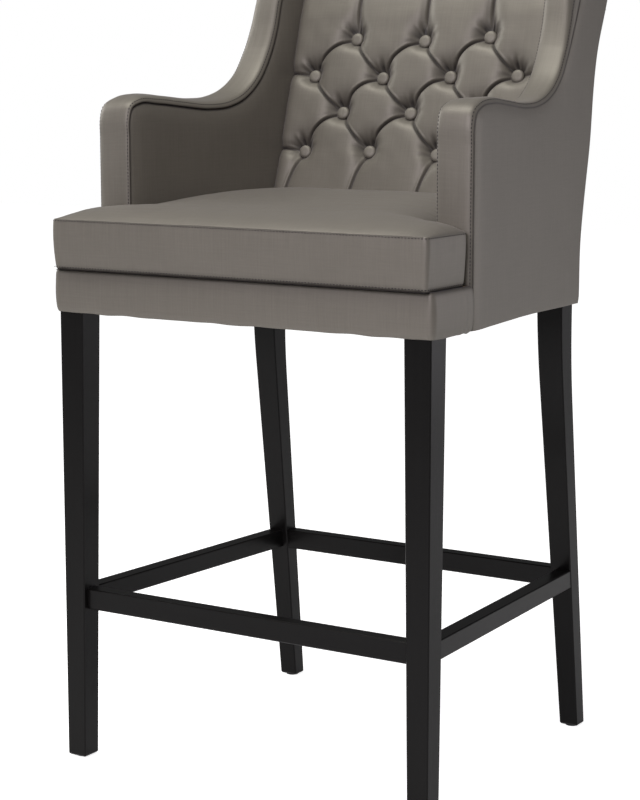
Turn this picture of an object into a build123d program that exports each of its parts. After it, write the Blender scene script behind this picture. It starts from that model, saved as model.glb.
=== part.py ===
from build123d import *
import os
from math import atan2, cos, hypot, radians, sin, tan

# Upholstered wing armchair on bar stool legs, in mm.
# X runs across the stool, Y to the back and Z up. While the pieces are made, Y is zero at the
# face of the front rail cover. They are moved together at the end, so that the origin lies on
# the floor under the middle of the whole stool.

# Heights of the whole stool, each level from the one below it
floor_height = 0.0
hem_height = 645.0
rail_cover_height = 58.0
cushion_border_height = 70.0
cushion_crown_height = 35.0
arm_rest_rise = 153.5
wing_rise = 213.5
groove_height = hem_height + rail_cover_height
seat_seam_height = groove_height + cushion_border_height
seat_crown_height = seat_seam_height + cushion_crown_height
arm_rest_height = seat_seam_height + arm_rest_rise
wing_top_height = arm_rest_height + wing_rise

# Room between pieces: round soft faces, and flat faces that only meet
piece_gap = 0.3
hair_gap = 0.15
overrun = 5.0

# Upholstery skin and the plan of the sides, which draw in towards the back
cover_thickness = 2.4
cover_half_width = 299.5
side_draw = 31.0
arm_front = 100.0
side_bend_lag = 5.0
arm_thickness = 51.5
arm_inner_draw = 23.0
arm_inner_draw_reach = 340.0
side_bend_start = arm_front + side_bend_lag
back_corner_half_width = cover_half_width - side_draw
arm_inner_half_width = cover_half_width - arm_thickness

# Outside back: upright, then leaning, then scrolled back at its top
outside_back_rear = 481.0
outside_back_padding = 12.2
lean_start_lift = 10.0
outside_lean_share = 0.2
scroll_seam_drop = 4.942
wing_rear_share = 0.892
scroll_rise = 102.0
scroll_overhang = 50.6
lean_bend_radius = 150.0
scroll_bend_radius = 230.0
lean_start_height = groove_height + lean_start_lift
scroll_top_height = arm_rest_height + wing_rise * wing_rear_share - scroll_seam_drop
scroll_start_height = scroll_top_height - scroll_rise
scroll_start_rear = outside_back_rear + (scroll_start_height - lean_start_height) * outside_lean_share
scroll_top_rear = scroll_start_rear + scroll_overhang

# Front legs: square, the outer faces upright and the inner faces tapered to the foot
leg_top_width = 40.0
leg_cover_gap = 0.1
front_foot_width = 31.0
leg_arris = 1.6
foot_chamfer = 2.5
front_leg_half_spread = cover_half_width - cover_thickness - leg_cover_gap
front_leg_rear = cover_thickness + leg_top_width

# Back legs: sawn with a backward sweep below the hem and a lean above it, as one piece
back_leg_inset = 2.0
back_foot_width = 29.0
back_leg_depth = 35.0
back_foot_splay = 77.5
back_foot_depth = 25.0
front_sweep_drop = 55.0
rear_sweep_drop = 83.0
sweep_radius = 900.0
post_scroll_depth = 25.1
post_scroll_lift = 3.0
post_top_depth = 34.1
post_top_drop = 4.0
back_leg_half_spread = back_corner_half_width - back_leg_inset
back_leg_front = outside_back_rear - outside_back_padding - piece_gap - back_leg_depth
back_foot_front = back_leg_front + back_foot_splay
front_sweep_height = hem_height - front_sweep_drop
rear_sweep_height = hem_height - rear_sweep_drop
post_scroll_height = scroll_start_height + post_scroll_lift
post_top_height = scroll_top_height - post_top_drop

# Seat frame
rail_thickness = 22.0
rail_lift = 3.0
seat_panel_thickness = 12.0
side_rail_thickness = 27.0
tenon_thickness = 12.0
tenon_length = 15.0
tenon_height = 28.0
tenon_clearance = 0.2
tenon_end_clearance = 0.6
corner_block_reach = 62.0
back_block_reach = 58.0
corner_block_height = 30.0
dust_cover_thickness = 1.2
rail_top = groove_height - seat_panel_thickness
rail_bottom = hem_height + rail_lift

# Stretchers
stretcher_top = 249.5
front_stretcher_height = 29.5
front_stretcher_thickness = 21.5
front_stretcher_inset = 7.8
side_stretcher_drop = 1.0
side_stretcher_height = 27.0
side_stretcher_thickness = 23.5
side_stretcher_front_inset = 4.5
side_stretcher_back_inset = 2.5
back_stretcher_thickness = 22.0
stretcher_tenon_length = 10.0
stretcher_tenon_thickness = 10.0
stretcher_tenon_height = 16.0
stretcher_arris = 1.5
front_stretcher_front = cover_thickness + front_stretcher_inset
side_stretcher_front_half = front_leg_half_spread - side_stretcher_front_inset
side_stretcher_back_half = back_leg_half_spread - side_stretcher_back_inset

# Screws and glides
block_screw_length = 44.0
arm_screw_length = 60.0
screw_radius = 2.0
screw_head_radius = 4.2
screw_head_height = 2.6
screw_hole_clearance = 0.25
arm_screw_inset = 45.0
arm_screw_pitch = 170.0
arm_screw_grip = 30.0
glide_radius = 9.5
glide_thickness = 2.0

# Arm and wing frames: plywood panels under the padding
arm_frame_thickness = 22.0
arm_frame_inset = 7.0
pad_seam_inset = 0.5
band_front_rise = 5.0
band_crest_rise = 12.0

# Back panel and back rails
back_board_thickness = 12.0
back_board_lift = 42.0
back_board_drop = 14.0
back_rail_thickness = 18.0
back_lower_rail_height = 45.0
back_top_rail_height = 52.0
back_board_bottom = groove_height + back_board_lift
back_board_top = scroll_top_height - back_board_drop

# Tufted inside back, on a plane that the buttons are drawn down to
back_reference_rise = 197.0
back_thickness_at_reference = 52.4
back_lean = 14.7
back_slab_thickness = 7.0
back_slab_foot_gap = 1.0
button_side_margin = 50.74
button_rows_below_top = 3
button_top_count = 3
button_top_drop = 92.0
button_foot_rise = 76.6
puff_height = 21.0
puff_valley = 2.2
puff_root = 2.0
puff_level_shares = [0.0, 0.35, 0.65, 0.87, 1.0]
puff_size_shares = [1.0, 0.95, 0.84, 0.65, 0.36]
puff_foot_rise = 5.0
puff_top_drop = 8.0
roll_top_rise = 7.0
roll_peak_lead = 38.0
roll_base_drop = 2.0
button_radius = 9.0
button_dome = 5.0
button_rim = 2.0
button_side_count = 16
button_level_shares = [0.0, 0.7, 1.0]
button_size_shares = [1.0, 0.72, 0.34]
button_pocket_gap = 0.6
lean_share = tan(radians(back_lean))
back_reference_height = groove_height + back_reference_rise
back_rear_at_reference = outside_back_rear + (back_reference_height - lean_start_height) * outside_lean_share
back_valley_at_reference = back_rear_at_reference - back_thickness_at_reference
puff_foot_height = seat_seam_height + puff_foot_rise
puff_top_height = scroll_top_height - puff_top_drop
button_top_height = scroll_top_height - button_top_drop
button_foot_height = puff_foot_height + button_foot_rise
roll_top_height = wing_top_height + roll_top_rise
roll_top_reach = scroll_top_rear - roll_peak_lead
roll_base_height = scroll_top_height - roll_base_drop

# Seat cushion with two ears in front of the arms
cushion_front = -11.0
cushion_side_gap = 1.5
cushion_ear_gap = 6.4
cushion_back_gap = 9.3
cushion_foot_inset = 4.5
cushion_side_swell = 3.0
cushion_front_draw = 3.0
cushion_side_draw = 1.5
cushion_level_shares = [0.0, 0.3, 0.7, 1.0]
cushion_swell_shares = [0.0, 0.85, 1.0, 0.0]
cushion_corner_radius = 16.0
cushion_neck_radius = 8.0
cushion_arm_gap = 0.6
crown_ear_lift = 15.0
crown_ear_rise = 2.0
crown_neck_rise = 5.0
crown_front_lift = 7.0
crown_back_lift = 22.0
crown_side_drop = 8.0
crown_peak_lead = 145.0
cushion_half_width = cover_half_width - cushion_side_gap
cushion_ear_rear = arm_front - cushion_ear_gap
back_foot_valley = back_valley_at_reference + (groove_height - back_reference_height) * lean_share
cushion_rear = back_foot_valley - cushion_back_gap
crown_peak_reach = cushion_rear - crown_peak_lead

# Arm seams as shares of the reach from the arm's front to the back, and of the wing's rise
# above the arm rest: the outer seam first, then the inner seam at the same place
arm_seam_end_gap = 3.0
arm_reach = scroll_top_rear - arm_front - arm_seam_end_gap
arm_seam_shares = [
    ((0.000, -0.054), (0.002, -0.068)),
    ((0.008, 0.016), (0.014, -0.002)),
    ((0.045, 0.044), (0.051, 0.026)),
    ((0.123, 0.037), (0.129, 0.014)),
    ((0.236, 0.021), (0.244, -0.009)),
    ((0.363, 0.000), (0.373, -0.030)),
    ((0.455, 0.012), (0.465, -0.016)),
    ((0.533, 0.059), (0.541, 0.040)),
    ((0.610, 0.169), (0.611, 0.157)),
    ((0.666, 0.340), (0.670, 0.349)),
    ((0.711, 0.513), (0.701, 0.518)),
    ((0.752, 0.691), (0.722, 0.696)),
    ((0.781, 0.850), (0.746, 0.855)),
    ((0.807, 0.934), (0.775, 0.949)),
    ((0.855, 0.991), (0.830, 1.000)),
    ((0.918, 1.000), (0.904, 1.009)),
    ((1.000, wing_rear_share), (0.996, 0.897)),
]
band_rise_shares = [(0.0, 0.0), (0.05, 0.25), (0.18, 1.0), (0.85, 0.8), (1.0, 0.2)]
band_dome_shares = [(0.04, 0.45), (0.14, 0.75), (0.32, 0.96), (0.5, 1.0), (0.68, 0.96), (0.86, 0.75), (0.96, 0.45)]
band_steps = 30

side_draw_share = side_draw / (outside_back_rear - side_bend_start)
inner_draw_share = arm_inner_draw / arm_inner_draw_reach


# Plan lines of the sides
def outer_line(y):
    """Half width of the side cover's outer face at a place along the depth."""
    return cover_half_width - max(y - side_bend_start, 0) * side_draw_share


def inner_line(y):
    """Half width between the arms' inner faces at a place along the depth."""
    return arm_inner_half_width - (y - arm_front) * inner_draw_share


def valley(z):
    """Depth of the plane that the buttons are sewn down to, at a height."""
    return back_valley_at_reference + (z - back_reference_height) * lean_share


def slab_rear(z):
    """Depth of the rear face of the inside back."""
    return valley(z) + back_slab_thickness / cos(radians(back_lean))


def prism_in_plan(points, low, high):
    """A closed plan outline raised between two heights."""
    outline = make_face(Polyline(*[(x, y) for x, y in points], close=True))
    return Pos(0, 0, low) * extrude(outline, high - low)


def side_band_in_plan(outer_drop, inner_drop, from_y, to_y):
    """The strip between two lines that follow the outer face of the right side."""
    tall = wing_top_height + puff_height
    bend = max(side_bend_start, from_y)
    outline = [(outer_line(from_y) - outer_drop, from_y)]
    if bend > from_y:
        outline.append((outer_line(bend) - outer_drop, bend))
    outline += [(outer_line(to_y) - outer_drop, to_y), (outer_line(to_y) - inner_drop, to_y)]
    if bend > from_y:
        outline.append((outer_line(bend) - inner_drop, bend))
    outline.append((outer_line(from_y) - inner_drop, from_y))
    return prism_in_plan(outline, floor_height, tall)


def across(profile, reach):
    """A closed side profile run across the stool, from the middle to the right."""
    return extrude(profile, reach, dir=(1, 0, 0))


def side_face(edges):
    """A face in the stool's side view."""
    return make_face(edges)


def stepped_solid(rings):
    """A solid with flat faces between like outlines, each a ring of points, from foot to top."""
    faces = [make_face(Polyline(*rings[0], close=True)), make_face(Polyline(*rings[-1], close=True))]
    for low, high in zip(rings, rings[1:]):
        for i in range(len(low)):
            side = Polyline(low[i - 1], low[i], high[i], high[i - 1], close=True)
            faces.append(make_face(side))
    return Solid(Shell(faces))


def mirrored(shape):
    return mirror(shape, about=Plane.YZ)


# Side profile of the back
def rear_profile(padding):
    """The line of the outside back, a distance in from the cover's rear face."""
    lean = atan2(scroll_start_rear - outside_back_rear, scroll_start_height - lean_start_height)
    scroll = atan2(scroll_top_rear - scroll_start_rear, scroll_top_height - scroll_start_height)
    half_turn = (scroll - lean) / 2
    top_y = scroll_top_rear - padding / cos(scroll)
    start_y = scroll_start_rear - padding * cos(half_turn - (scroll + lean) / 2) / cos(half_turn)
    start_z = scroll_start_height - padding * sin(half_turn - (scroll + lean) / 2) / cos(half_turn)
    bend_z = lean_start_height + padding * tan(lean / 2)
    return [
        (outside_back_rear - padding, hem_height),
        (outside_back_rear - padding, bend_z),
        (start_y, start_z),
        (top_y, scroll_top_height),
    ]


def rear_line(padding):
    """The outside back's line as runs and tangent arcs."""
    points = [(0, y, z) for y, z in rear_profile(padding)]
    return FilletPolyline(*points, radius=[lean_bend_radius + padding, scroll_bend_radius + padding])


# Legs
def front_leg():
    """The right front leg."""
    lower = leg_block(front_leg_half_spread, front_foot_width, glide_thickness)
    upper = leg_block(front_leg_half_spread, leg_top_width, hem_height)
    leg = loft([lower, upper], ruled=True) + extrude(upper, rail_top - hem_height)
    return leg - foot_chamfer_waste(leg)


def foot_chamfer_waste(leg):
    """What the chamfer round a foot takes away."""
    foot = leg.faces().sort_by(Axis.Z)[0].bounding_box()
    middle = Pos((foot.min.X + foot.max.X) / 2, (foot.min.Y + foot.max.Y) / 2, foot.min.Z)
    wide, deep = foot.max.X - foot.min.X, foot.max.Y - foot.min.Y
    small = Rectangle(wide - foot_chamfer * 2, deep - foot_chamfer * 2)
    large = Pos(0, 0, foot_chamfer * 2) * Rectangle(wide + foot_chamfer * 2, deep + foot_chamfer * 2)
    kept = loft([small, large])
    block = Box(
        wide + foot_chamfer * 3,
        deep + foot_chamfer * 3,
        foot_chamfer * 2,
        align=(Align.CENTER, Align.CENTER, Align.MIN),
    )
    return middle * (block - kept)


def leg_block(half_spread, width, height):
    """Square section of a front leg at a height, its arrises eased, from its outer front corner."""
    front = cover_thickness
    corner = [
        (half_spread, front),
        (half_spread, front + width),
        (half_spread - width, front + width),
        (half_spread - width, front),
    ]
    square = make_face(Polyline(*corner, close=True))
    return Pos(0, 0, height) * chamfer(square.vertices(), leg_arris)


def post_fronts():
    """Depths of the post's front edge where the scroll starts and at the post's top."""
    rear = rear_profile(outside_back_padding + piece_gap)
    (start_y, start_z), (top_y, top_z) = rear[2], rear[3]
    cut = (top_z - post_top_height) * (top_y - start_y) / (top_z - start_z)
    return start_y - post_scroll_depth, top_y - cut - post_top_depth


def back_leg_middle(z):
    """Depth of a back leg's middle at a height below its sweep."""
    rear_y = rear_profile(outside_back_padding + piece_gap)[1][0]
    front_part = (z - glide_thickness) / (front_sweep_height - glide_thickness)
    rear_part = (z - glide_thickness) / (rear_sweep_height - glide_thickness)
    foot_rear = back_foot_front + back_foot_depth
    front_y = back_foot_front + (back_leg_front - back_foot_front) * front_part
    return (front_y + foot_rear + (rear_y - foot_rear) * rear_part) / 2


def back_leg():
    """The right back leg with its post, sawn from one plank and tapered in its width."""
    rear = rear_profile(outside_back_padding + piece_gap)
    post_scroll_front, post_top_front = post_fronts()
    lean_y, lean_z = rear[1]
    start_y, start_z = rear[2]
    top_y, top_z = rear[3]
    foot = glide_thickness
    rear_cut = (top_z - post_top_height) * (top_y - start_y) / (top_z - start_z)
    rear_edge = FilletPolyline(
        (0, back_foot_front + back_foot_depth, foot),
        (0, lean_y, rear_sweep_height),
        (0, lean_y, lean_z),
        (0, start_y, start_z),
        (0, top_y - rear_cut, post_top_height),
        radius=[sweep_radius, lean_bend_radius, scroll_bend_radius],
    )
    front_edge = FilletPolyline(
        (0, back_foot_front, foot),
        (0, back_leg_front, front_sweep_height),
        (0, back_leg_front, lean_start_height),
        (0, post_scroll_front, post_scroll_height),
        (0, post_top_front, post_top_height),
        radius=[sweep_radius, lean_bend_radius, scroll_bend_radius],
    )
    top_edge = Line(front_edge @ 1, rear_edge @ 1)
    foot_edge = Line(front_edge @ 0, rear_edge @ 0)
    plank = across(side_face([rear_edge, front_edge, top_edge, foot_edge]), back_leg_half_spread)
    far = back_foot_front + back_foot_depth + scroll_top_rear
    inner_taper = [
        (back_leg_half_spread - back_foot_width, floor_height),
        (back_leg_half_spread - leg_top_width, hem_height),
        (back_leg_half_spread - leg_top_width, wing_top_height),
        (back_leg_half_spread + overrun, wing_top_height),
        (back_leg_half_spread + overrun, floor_height),
    ]
    taper = make_face(Polyline(*[(x, 0, z) for x, z in inner_taper], close=True))
    leg = plank & extrude(taper, far, dir=(0, 1, 0))
    below_hem = Box(far * 2, far * 2, hem_height, align=(Align.CENTER, Align.CENTER, Align.MIN))
    lower = leg & below_hem
    upper = (leg - below_hem) & inside_cover()
    lower = chamfer(long_edges(lower), leg_arris)
    return lower - foot_chamfer_waste(lower) + upper


def long_edges(leg):
    """The four long corners of a leg, each a chain of runs and arcs."""
    chosen = []
    for edge in leg.edges():
        box = edge.bounding_box()
        if box.max.Z - box.min.Z > leg_arris * 2:
            chosen.append(edge)
    return chosen


def inside_cover():
    """The room inside the side covers, for what stands against them."""
    gap = cover_thickness + piece_gap
    far = scroll_top_rear + overrun
    outline = [
        (outer_line(arm_front) - gap, -overrun),
        (outer_line(side_bend_start) - gap, side_bend_start),
        (outer_line(far) - gap, far),
        (0, far),
        (0, -overrun),
    ]
    return prism_in_plan(outline, floor_height, wing_top_height + puff_height)


# Joints between rails and legs
def tenon_box(thickness, height, length, clearance):
    """A tenon along X from the origin, or the mortise that takes it."""
    grown = clearance * 2
    end = tenon_end_clearance if clearance else 0
    block = Box(length + end, thickness + grown, height + grown, align=(Align.MIN, Align.CENTER, Align.CENTER))
    return block


def tenon_sites():
    """Where each tenon starts on the right half: its place and its turn."""
    seat_z = (rail_bottom + rail_top) / 2
    front_y = cover_thickness + rail_thickness / 2
    back_y = back_leg_front + back_leg_depth - piece_gap - rail_thickness / 2
    inner_leg = front_leg_half_spread - leg_top_width
    back_inner = back_leg_half_spread - leg_top_width
    front_side_x = side_rail_line(front_leg_rear) - side_rail_thickness / 2
    back_side_x = side_rail_line(back_leg_front) - side_rail_thickness / 2
    return {
        "front_seat_rail": [(inner_leg, front_y, seat_z, 0)],
        "back_seat_rail": [(back_inner, back_y, seat_z, 0)],
        "side_seat_rail": [
            (front_side_x, front_leg_rear, seat_z, -90),
            (back_side_x, back_leg_front, seat_z, 90),
        ],
    }


def placed_tenons(sites, clearance):
    """The tenons, or mortises, of one rail's right half."""
    solids = []
    for x, y, z, turn in sites:
        block = tenon_box(tenon_thickness, tenon_height, tenon_length, clearance)
        solids.append(Pos(x, y, z) * Rot(0, 0, turn) * block)
    return solids


def side_rail_line(y):
    """Half width of the side seat rail's outer face."""
    return outer_line(y) - cover_thickness - piece_gap


# Seat rails
def front_seat_rail():
    inner = front_leg_half_spread - leg_top_width
    rail = Pos(0, cover_thickness + rail_thickness / 2, (rail_bottom + rail_top) / 2) * Box(
        inner * 2, rail_thickness, rail_top - rail_bottom
    )
    for block in placed_tenons(tenon_sites()["front_seat_rail"], 0):
        rail = rail + block + mirrored(block)
    return rail


def back_seat_rail():
    inner = back_leg_half_spread - leg_top_width
    rear = back_leg_front + back_leg_depth - piece_gap
    rail = Pos(0, rear - rail_thickness / 2, (rail_bottom + groove_height) / 2) * Box(
        inner * 2, rail_thickness, groove_height - rail_bottom
    )
    for block in placed_tenons(tenon_sites()["back_seat_rail"], 0):
        rail = rail + block + mirrored(block)
    return rail


def side_seat_rail():
    """The right side rail, its outer face sawn to the line of the side cover."""
    outline = [
        (side_rail_line(front_leg_rear), front_leg_rear),
        (side_rail_line(side_bend_start), side_bend_start),
        (side_rail_line(back_leg_front), back_leg_front),
        (side_rail_inner(back_leg_front), back_leg_front),
        (side_rail_inner(front_leg_rear), front_leg_rear),
    ]
    rail = prism_in_plan(outline, rail_bottom, rail_top)
    for block in placed_tenons(tenon_sites()["side_seat_rail"], 0):
        rail = rail + block
    return rail


def side_rail_inner(y):
    """Half width of the side seat rail's inner face, which is planed straight."""
    front_x = side_rail_line(front_leg_rear) - side_rail_thickness
    back_x = side_rail_line(back_leg_front) - side_rail_thickness
    return front_x + (back_x - front_x) * (y - front_leg_rear) / (back_leg_front - front_leg_rear)


# Corner blocks with their screws
def corner_block_plans():
    """Plan outlines of the right front and right back blocks."""
    inner = front_leg_half_spread - leg_top_width - hair_gap
    back_inner = back_leg_half_spread - leg_top_width - hair_gap
    rail_y = cover_thickness + rail_thickness
    leg_y = front_leg_rear + hair_gap
    back_rail_y = back_leg_front + back_leg_depth - piece_gap - rail_thickness
    back_leg_y = back_leg_front - hair_gap
    front = [
        (inner - corner_block_reach, rail_y),
        (inner, rail_y),
        (inner, leg_y),
        (side_rail_inner(leg_y), leg_y),
        (side_rail_inner(leg_y + corner_block_reach), leg_y + corner_block_reach),
    ]
    back = [
        (back_inner - back_block_reach, back_rail_y),
        (back_inner, back_rail_y),
        (back_inner, back_leg_y),
        (side_rail_inner(back_leg_y), back_leg_y),
        (side_rail_inner(back_leg_y - back_block_reach), back_leg_y - back_block_reach),
    ]
    return [front, back]


def wood_screw(length):
    """A countersunk wood screw along -Z, its head's flat face at the origin."""
    profile = Polyline(
        (0, 0),
        (screw_head_radius, 0),
        (screw_radius, -screw_head_height),
        (screw_radius, -length),
        (0, -length),
        close=True,
    )
    return revolve(make_face(Plane.XZ * profile), Axis.Z)


def screw_hole(length, bore):
    """The hole that a wood screw is driven into, with its countersink and a bore over its head."""
    grow = screw_hole_clearance
    profile = Polyline(
        (0, bore),
        (screw_head_radius + grow, bore),
        (screw_head_radius + grow, 0),
        (screw_radius + grow, -screw_head_height),
        (screw_radius + grow, -length - grow),
        (0, -length - grow),
        close=True,
    )
    return revolve(make_face(Plane.XZ * profile), Axis.Z)


def block_screw_places():
    """Places of the right half's block screws, square to each block's long face."""
    places = []
    height = (rail_bottom + rail_top) / 2
    for plan, forward in zip(corner_block_plans(), (-1, 1)):
        start, end = plan[0], plan[-1]
        middle = ((start[0] + end[0]) / 2, (start[1] + end[1]) / 2, height)
        run = Vector(end[0] - start[0], end[1] - start[1], 0)
        out = Vector(0, 0, forward).cross(run).normalized() * -1
        places.append(Plane(origin=middle, x_dir=(0, 0, 1), z_dir=out * -1))
    return places


def arm_screw_places():
    """Places of the screws that come up through the right side rail into the arm frame."""
    places = []
    middle_drop = cover_thickness + piece_gap + arm_frame_thickness / 2
    for step in (0, 1):
        y = arm_front + arm_screw_inset + arm_screw_pitch * step
        places.append(Pos(outer_line(y) - middle_drop, y, arm_screw_height()) * Rot(180, 0, 0))
    return places


def arm_screw_height():
    """Height of those screws' heads, in bores that come up from the rail's lower face."""
    return groove_height + arm_screw_grip - arm_screw_length


# Stretchers
def bar(outline, top, height):
    """A stretcher blank with eased long edges on its top."""
    blank = prism_in_plan(outline, top - height, top)
    upper = blank.faces().sort_by(Axis.Z)[-1].edges()
    longest = upper.sort_by(SortBy.LENGTH)[-2:]
    lower = blank.faces().sort_by(Axis.Z)[0].edges().sort_by(SortBy.LENGTH)[-2:]
    return chamfer(longest + lower, stretcher_arris)


def fitted_between(blank, legs):
    """The blank cut off at the faces of the legs that it joins."""
    for leg in legs:
        blank = blank - leg
    return blank.solids().sort_by(SortBy.VOLUME)[-1]


def stretcher_end(x, y, z, turn, clearance, depth):
    """A stub tenon that starts inside the stretcher's end and reaches into the leg."""
    block = tenon_box(stretcher_tenon_thickness, stretcher_tenon_height, depth, clearance)
    return Pos(x, y, z) * Rot(0, 0, turn) * block


# Arm profile
def seam_point(share):
    """A place on an arm seam in the side view."""
    return (arm_front + share[0] * arm_reach, arm_rest_height + share[1] * wing_rise)


def seam_line(which, inset):
    """One arm seam as a list of points, drawn in from the edge by an inset."""
    points = [seam_point(pair[which]) for pair in arm_seam_shares]
    front_y = points[0][0]
    points = [(front_y, groove_height)] + points
    drawn = []
    last = len(points) - 1
    for i, (y, z) in enumerate(points):
        before = points[max(i - 1, 0)]
        after = points[min(i + 1, last)]
        along = hypot(after[0] - before[0], after[1] - before[1])
        run_y, run_z = (after[0] - before[0]) / along, (after[1] - before[1]) / along
        drawn.append((y + run_z * inset, z - run_y * inset))
    return drawn


def seam_curve(points):
    """The upright front of the arm, then one smooth curve along the crest and the wing."""
    (y0, z0), crest = points[0], points[1:]
    front = Line((0, crest[0][0], z0), (0, crest[0][0], crest[0][1]))
    sweep_up = Spline(*[(0, y, z) for y, z in crest])
    return front, sweep_up


def arm_profile(which, inset, foot, rear):
    """Closed side profile of an arm layer: front and crest, then down the given rear points."""
    points = seam_line(which, inset)
    front, crest = seam_curve(points)
    start = front @ 0
    low = Vector(0, start.Y, foot)
    edges = [Line(low, front @ 1), crest]
    corners = [crest @ 1] + [Vector(0, y, z) for y, z in rear] + [low]
    for a, b in zip(corners, corners[1:]):
        if (b - a).length > piece_gap / 2:
            edges.append(Line(a, b))
    return side_face(edges)


def ahead_of_outside_back():
    """The room in front of the outside back, for what the arms hold inside."""
    line = rear_line(outside_back_padding + piece_gap)
    foot, top = line @ 0, line @ 1
    high = wing_top_height + puff_height
    ledge = scroll_top_height + piece_gap
    front_low = Vector(0, -overrun, hem_height)
    front_high = Vector(0, -overrun, high)
    ledge_front = Vector(0, top.Y, ledge)
    ledge_rear = Vector(0, scroll_top_rear, ledge)
    back_high = Vector(0, scroll_top_rear, high)
    edges = [line, Line(top, ledge_front), Line(ledge_front, ledge_rear)]
    edges += [Line(ledge_rear, back_high), Line(back_high, front_high)]
    edges += [Line(front_high, front_low), Line(front_low, foot)]
    return across(side_face(edges), cover_half_width)


def post_front_points(gap):
    """The front edge of the back post from above its top down to the seat."""
    over = post_top_height + gap
    post_scroll_front, post_top_front = post_fronts()
    return [
        (scroll_top_rear, over),
        (post_top_front - gap, over),
        (post_scroll_front - gap, post_scroll_height),
        (back_leg_front - gap, lean_start_height),
    ]


def arm_frame():
    """The right plywood panel of arm and wing, standing on the seat panel."""
    rear = post_front_points(piece_gap)
    rear.append((back_leg_front - piece_gap, groove_height))
    outer = arm_profile(0, arm_frame_inset, groove_height, rear)
    panel = across(outer, cover_half_width)
    strip = side_band_in_plan(
        cover_thickness + piece_gap,
        cover_thickness + piece_gap + arm_frame_thickness,
        arm_front - overrun,
        scroll_top_rear,
    )
    return panel & strip & ahead_of_outside_back()


def arm_inner_pad():
    """The right inner pad, foam and cover in one, between the frame and the inner seam."""
    rear = post_front_points(piece_gap)
    rear.append((back_leg_front - piece_gap, groove_height))
    profile = arm_profile(1, pad_seam_inset + piece_gap, groove_height, rear)
    near = arm_front - overrun
    far = scroll_top_rear
    frame_drop = cover_thickness + piece_gap * 2 + arm_frame_thickness
    outline = [
        (outer_line(near) - frame_drop, near),
        (outer_line(side_bend_start) - frame_drop, side_bend_start),
        (outer_line(far) - frame_drop, far),
        (inner_line(far), far),
        (inner_line(near), near),
    ]
    wedge = prism_in_plan(outline, floor_height, wing_top_height + puff_height)
    return (across(profile, cover_half_width) & wedge & ahead_of_outside_back()) - band_room()


def arm_outer_cover():
    """The right outside cover from the hem to the outer seam, and back to the rear corner."""
    points = seam_line(0, pad_seam_inset + piece_gap)
    front, crest = seam_curve(points)
    rear = rear_line(0)
    low = Vector(0, (front @ 0).Y, hem_height)
    edges = [
        Line(low, front @ 1),
        crest,
        Line(crest @ 1, rear @ 1),
        rear,
        Line(rear @ 0, low),
    ]
    plate = across(side_face(edges), cover_half_width + overrun)
    strip = side_band_in_plan(0, cover_thickness, arm_front - overrun, scroll_top_rear + overrun)
    return (plate & strip) - band_room()


def seam_samples(which):
    """Places along one seam, from the seat up the arm's front and along crest and wing."""
    points = [seam_point(pair[which]) for pair in arm_seam_shares]
    half = outer_line if which == 0 else inner_line
    foot = groove_height + piece_gap
    front_y = points[0][0]
    crest = Spline(*[(half(y), y, z) for y, z in points])
    low = Vector(half(front_y), front_y, foot)
    return [low] + [crest @ (step / band_steps) for step in range(band_steps + 1)]


def band_rise(step):
    """How far the band stands proud of its seams at one of its places."""
    share = max(step - 1, 0) / band_steps
    for (s0, r0), (s1, r1) in zip(band_rise_shares, band_rise_shares[1:]):
        if share <= s1:
            part = r0 + (r1 - r0) * (share - s0) / (s1 - s0)
            break
    return band_front_rise + (band_crest_rise - band_front_rise) * part


def band_loft(drop, extra):
    """The band between its seams, or with a drop and extra size the room that it needs."""
    pairs = list(zip(seam_samples(0), seam_samples(1)))
    last = len(pairs) - 1
    sections = []
    for i, (outer, inner) in enumerate(pairs):
        before, after = pairs[max(i - 1, 0)], pairs[min(i + 1, last)]
        run = after[0] + after[1] - before[0] - before[1]
        out = Vector(1, 0, 0).cross(Vector(0, run.Y, run.Z)).normalized()
        widen = (outer - inner).normalized() * extra
        a = outer - out * drop + widen
        b = inner - out * drop - widen
        rise = band_rise(i) + extra
        domed = [a + (b - a) * place + out * (rise * level) for place, level in band_dome_shares]
        sections.append(make_face(Polyline(a, *domed, b, close=True)))
    return loft(sections, ruled=True)


def arm_band():
    """The right boxing band: a domed strip sewn along the outer and the inner seam."""
    return band_loft(0, 0)


def band_room():
    """What the band takes out of the padding under it."""
    return band_loft(piece_gap, overrun)


# Back frame
def back_board_face(low, high, front_drop, thickness):
    """Side profile of a flat piece that lies parallel to the inside back."""
    shift = thickness / cos(radians(back_lean))
    drop = front_drop / cos(radians(back_lean))
    points = [
        (slab_rear(low) + drop, low),
        (slab_rear(high) + drop, high),
        (slab_rear(high) + drop + shift, high),
        (slab_rear(low) + drop + shift, low),
    ]
    return side_face(Polyline(*[(0, y, z) for y, z in points], close=True))


def between_posts(profile):
    """A profile run from post to post."""
    half = back_leg_half_spread - leg_top_width - hair_gap
    right = across(profile, half)
    return right + mirrored(right)


# Tufted back
def back_plane():
    """The valley plane of the inside back, with X across and Y up along the lean."""
    lean = radians(back_lean)
    return Plane(
        origin=(0, back_valley_at_reference, back_reference_height),
        x_dir=(1, 0, 0),
        z_dir=(0, -cos(lean), sin(lean)),
    )


def up_lean(height):
    """Distance along the leaning plane of a height."""
    return (height - back_reference_height) / cos(radians(back_lean))


def button_rows():
    """The rows of buttons from the top: height along the plane, then places across."""
    top = up_lean(button_top_height)
    pitch = (top - up_lean(button_foot_height)) / button_rows_below_top
    outermost = inner_line(back_valley_at_reference) - button_side_margin
    button_pitch = outermost / (button_top_count / 2)
    rows = []
    for number in range(button_rows_below_top + 1):
        count = button_top_count + number % 2
        left = -(count - 1) / 2
        rows.append((top - number * pitch, [(left + place) * button_pitch for place in range(count)]))
    return rows


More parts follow.
